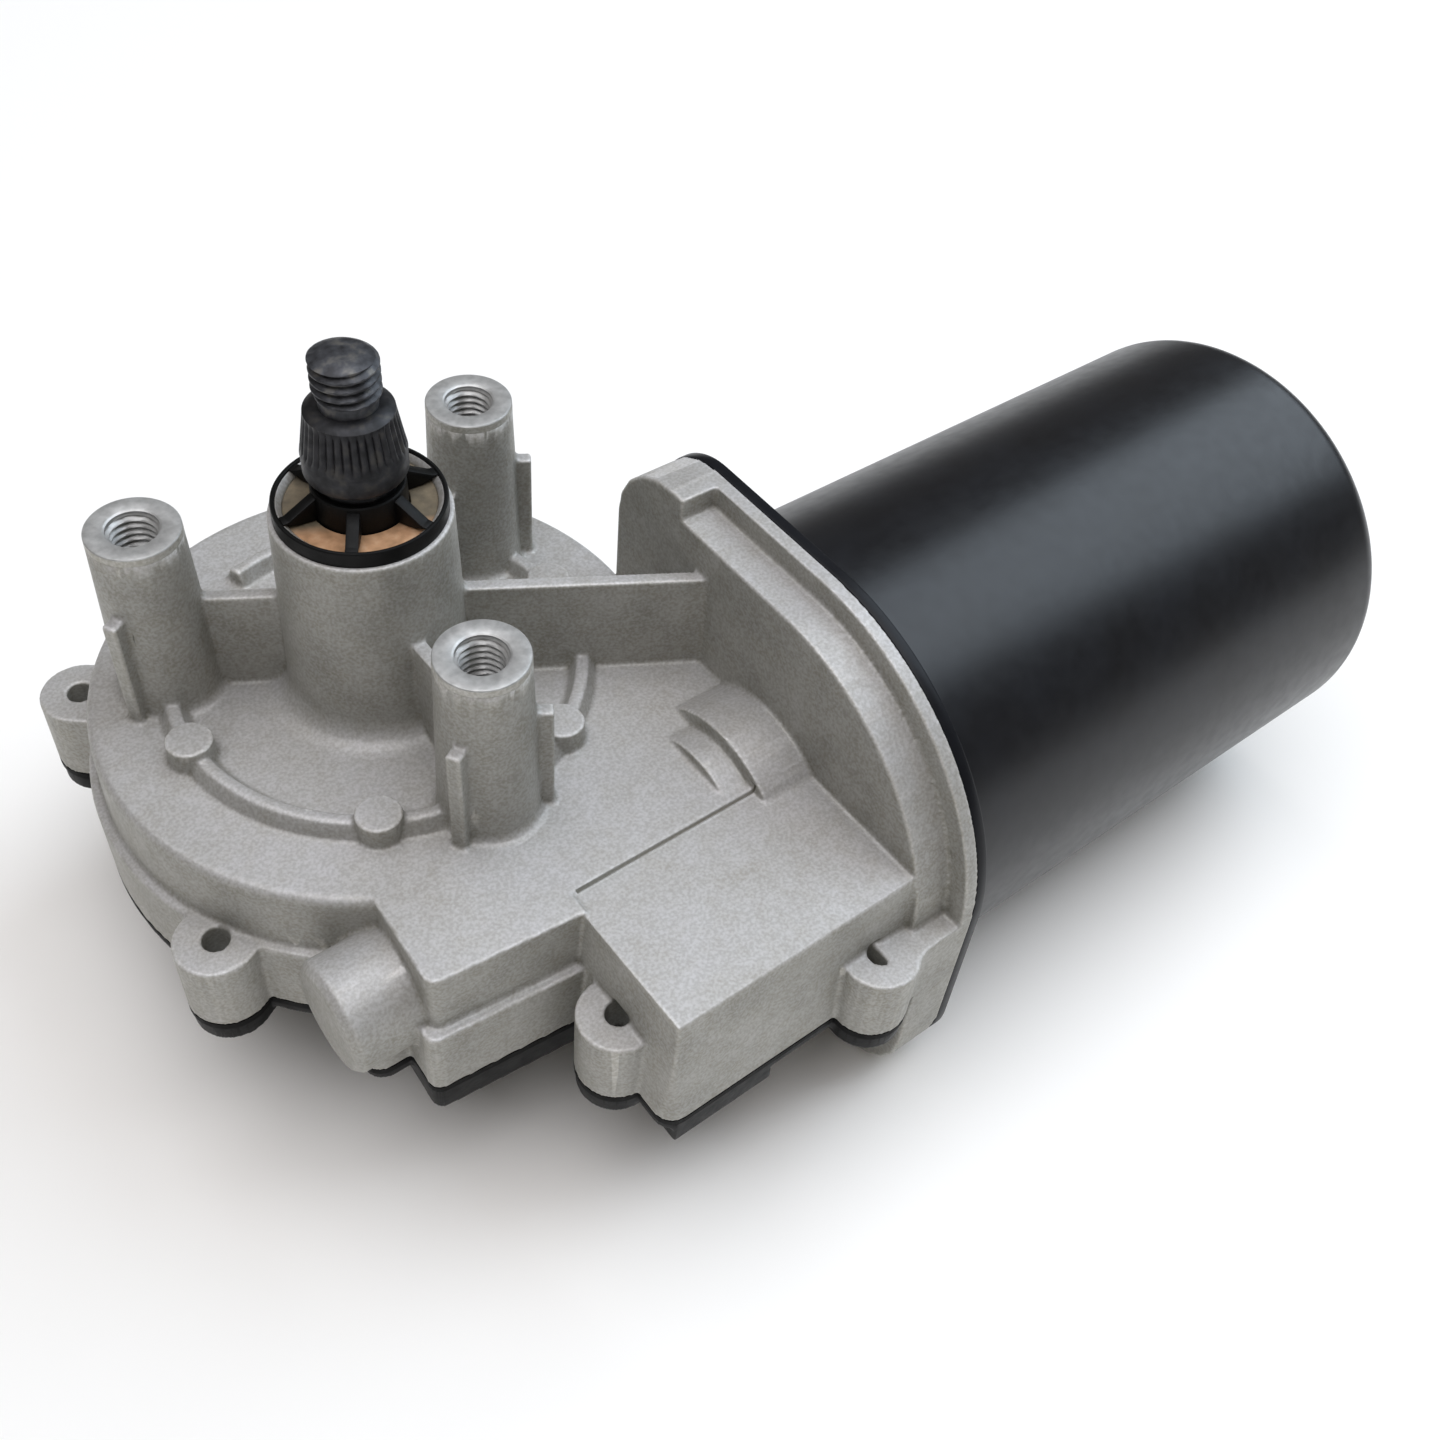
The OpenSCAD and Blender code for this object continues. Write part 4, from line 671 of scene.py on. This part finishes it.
def hexagon(z, angle, r):
    """Flats on the screw's head, which its top chamfer cuts off at the corners."""
    if r < 0.0042 or r > 0.0047:
        return r
    turn = angle % (math.pi / 3) - math.pi / 6
    return min(HEX_R * math.cos(math.pi / 6) / math.cos(turn), r)


def flange_screw(index, side):
    place = MOTOR @ Matrix.Translation((side * EAR_AT, side * EAR_AT, CAN_X))
    return turned_mesh(f"flange_screw_{index}", HEX_SCREW, 72, hexagon, place, smooth=30)


def cover_screw(index):
    """A pan head seen from below, with a cross recess pressed into its dome."""
    chain = [(-PAN_H * math.sqrt(1 - (r / PAN_R) ** 2.6), r) for r in np.linspace(0.0, 0.0034, 24)]
    chain += [(-0.0003, 0.00356), (0.0, PAN_R), (0.0, SCREW_R), (SCREW_LONG - 0.0002, SCREW_R),
              (SCREW_LONG, 0.0017), (SCREW_LONG, 0.0)]
    bm = spun(chain, 96)
    for vert in bm.verts:
        near, far = sorted((abs(vert.co.x), abs(vert.co.y)))
        if vert.co.z < -0.0001:
            inside = min((RECESS_HALF_W - near) / 0.00016, (RECESS_REACH - far) / 0.0004)
            vert.co.z += RECESS_DEPTH * min(1, max(0, inside))
    bm.transform(Matrix.Translation((*LUGS[index], COVER_HEAD_Z)) @ Matrix.Rotation(0.7 * index, 4, "Z"))
    mesh = from_bmesh(bm, f"cover_screw_{index}")
    shade_smooth(mesh, 40)
    return mesh


ZINC = plain_metal("zinc_plate_finish", "#A7A9AC", "#C9CBCE", 0.3)
for index, side in enumerate((1, -1)):
    mesh = flange_screw(index, side)
    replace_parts(new_object(mesh.name, mesh, ZINC, "housing"), "flange_screws")
for index in range(len(LUGS)):
    mesh = cover_screw(index)
    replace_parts(new_object(mesh.name, mesh, ZINC, "housing"), "cover_screws")


# Gasket and inner works
# The rubber seals, bushes, worm, wheel, armature, magnets, brush gear and contacts keep their CAD nodes.
# Ground steel, brass and copper shine evenly, sintered bronze and the stacked core are duller, and
# carbon, ferrite, board and rubber are matt.
FINISHES = {
    "cast_aluminium": CAST,
    "black_paint": PAINT,
    "black_plastic": BLACK_PLASTIC,
    "black_rubber": plastic("rubber_finish", "#0B0B0B", "#111111", 0.55, 1600, shine=0.08),
    "zinc_steel": ZINC,
    "dark_steel": SHAFT,
    "bare_steel": plain_metal("ground_steel_finish", "#8E9092", "#B2B4B6", 0.27),
    "bronze": plain_metal("sintered_bronze_finish", "#7D5A34", "#A47C4C", 0.48, 1600, 0.9, 0.00006),
    "brass": plain_metal("rolled_brass_finish", "#B08E48", "#D0AF68", 0.28),
    "copper": plain_metal("drawn_copper_finish", "#A85B36", "#CC7C52", 0.33),
    "nylon": plastic("nylon_finish", "#C9C5B4", "#DCD8CA", 0.4),
    "ferrite": plastic("ferrite_finish", "#2A292B", "#3A393B", 0.6, 1500),
    "core_steel": plain_metal("lamination_finish", "#5E5F62", "#808185", 0.38, 1500),
    "carbon": plastic("carbon_finish", "#18181A", "#252528", 0.5),
    "board": plastic("laminate_board_finish", "#4A2E1B", "#6A4529", 0.45),
    "red_wire": plastic("wire_insulation_finish", "#6E1414", "#8C1E1E", 0.35),
    "washer_fibre": FIBRE,
}
for part in frame["record"]["subparts"]:
    mesh = nodes[part["node"]].data
    mesh.materials.clear()
    mesh.materials.append(FINISHES[part["material_slot"]])


# Floor and light
# A pale floor under the lowest point, a broad lamp overhead and a bluer one beyond the can.
# The camera sees plain white round the floor, and the light on the object stays as it is.
LOW_Z = cad_box[0][2]
FLOOR_HALF = 6
FADE_FROM = 0.35
FADE_TO = 0.9


def soft_light(name, at, target, size, power, colour):
    data = bpy.data.lights.new(name, "AREA")
    data.shape = "SQUARE"
    data.size = size
    data.energy = power
    data.color = colour
    obj = bpy.data.objects.new(name, data)
    bpy.context.scene.collection.objects.link(obj)
    obj.location = at
    obj.rotation_euler = (Vector(target) - Vector(at)).to_track_quat("-Z", "Y").to_euler()


def white_for_camera(tree, shade, output, kind, fade=None):
    """Shows the camera plain white in place of a shade, as far as fade says."""
    factor = add(tree, "ShaderNodeLightPath").outputs["Is Camera Ray"]
    if fade:
        factor = add(tree, "ShaderNodeMath", {0: factor, 1: fade}, operation="MULTIPLY")
    white = add(tree, kind, {"Color": (1, 1, 1, 1)})
    connect(tree, output, {"Surface": add(tree, "ShaderNodeMixShader", {0: factor, 1: shade, 2: white})})


def floor_finish():
    """Pale matt paper that fades into the white backdrop."""
    material, tree, shader, at = new_finish("floor_finish", shine=0.1, roughness=0.9)
    connect(tree, shader, {"Base Color": linear("#FBF8F4")})
    far = add(tree, "ShaderNodeVectorMath", {0: at["Object"]}, operation="LENGTH")
    fade = add(tree, "ShaderNodeMapRange", {"Value": far, "From Min": FADE_FROM, "From Max": FADE_TO})
    white_for_camera(tree, shader, tree.nodes["Material Output"], "ShaderNodeEmission", fade)
    return material


bm = bmesh.new()
bmesh.ops.create_grid(bm, x_segments=1, y_segments=1, size=FLOOR_HALF)
floor = bpy.data.objects.new("floor", from_bmesh(bm, "floor"))
floor.location = (0, 0, LOW_Z)
bpy.context.scene.collection.objects.link(floor)
floor.data.materials.append(floor_finish())

soft_light("top_light", (-0.25, -0.1, 2.0), (0.0, 0.0, 0.0), 2.2, 43.5, (0.96, 0.965, 1.0))
soft_light("sky_light", (1.2, -0.12, 1.2), (0.1, -0.05, -0.05), 1.4, 19, (0.78, 0.89, 1.0))
world = bpy.data.worlds.new("studio")
world.use_nodes = True
sky = world.node_tree
dim = connect(sky, sky.nodes["Background"], {"Color": (1, 0.93, 0.80, 1), "Strength": 0.09})
white_for_camera(sky, dim, sky.nodes["World Output"], "ShaderNodeBackground")
bpy.context.scene.world = world
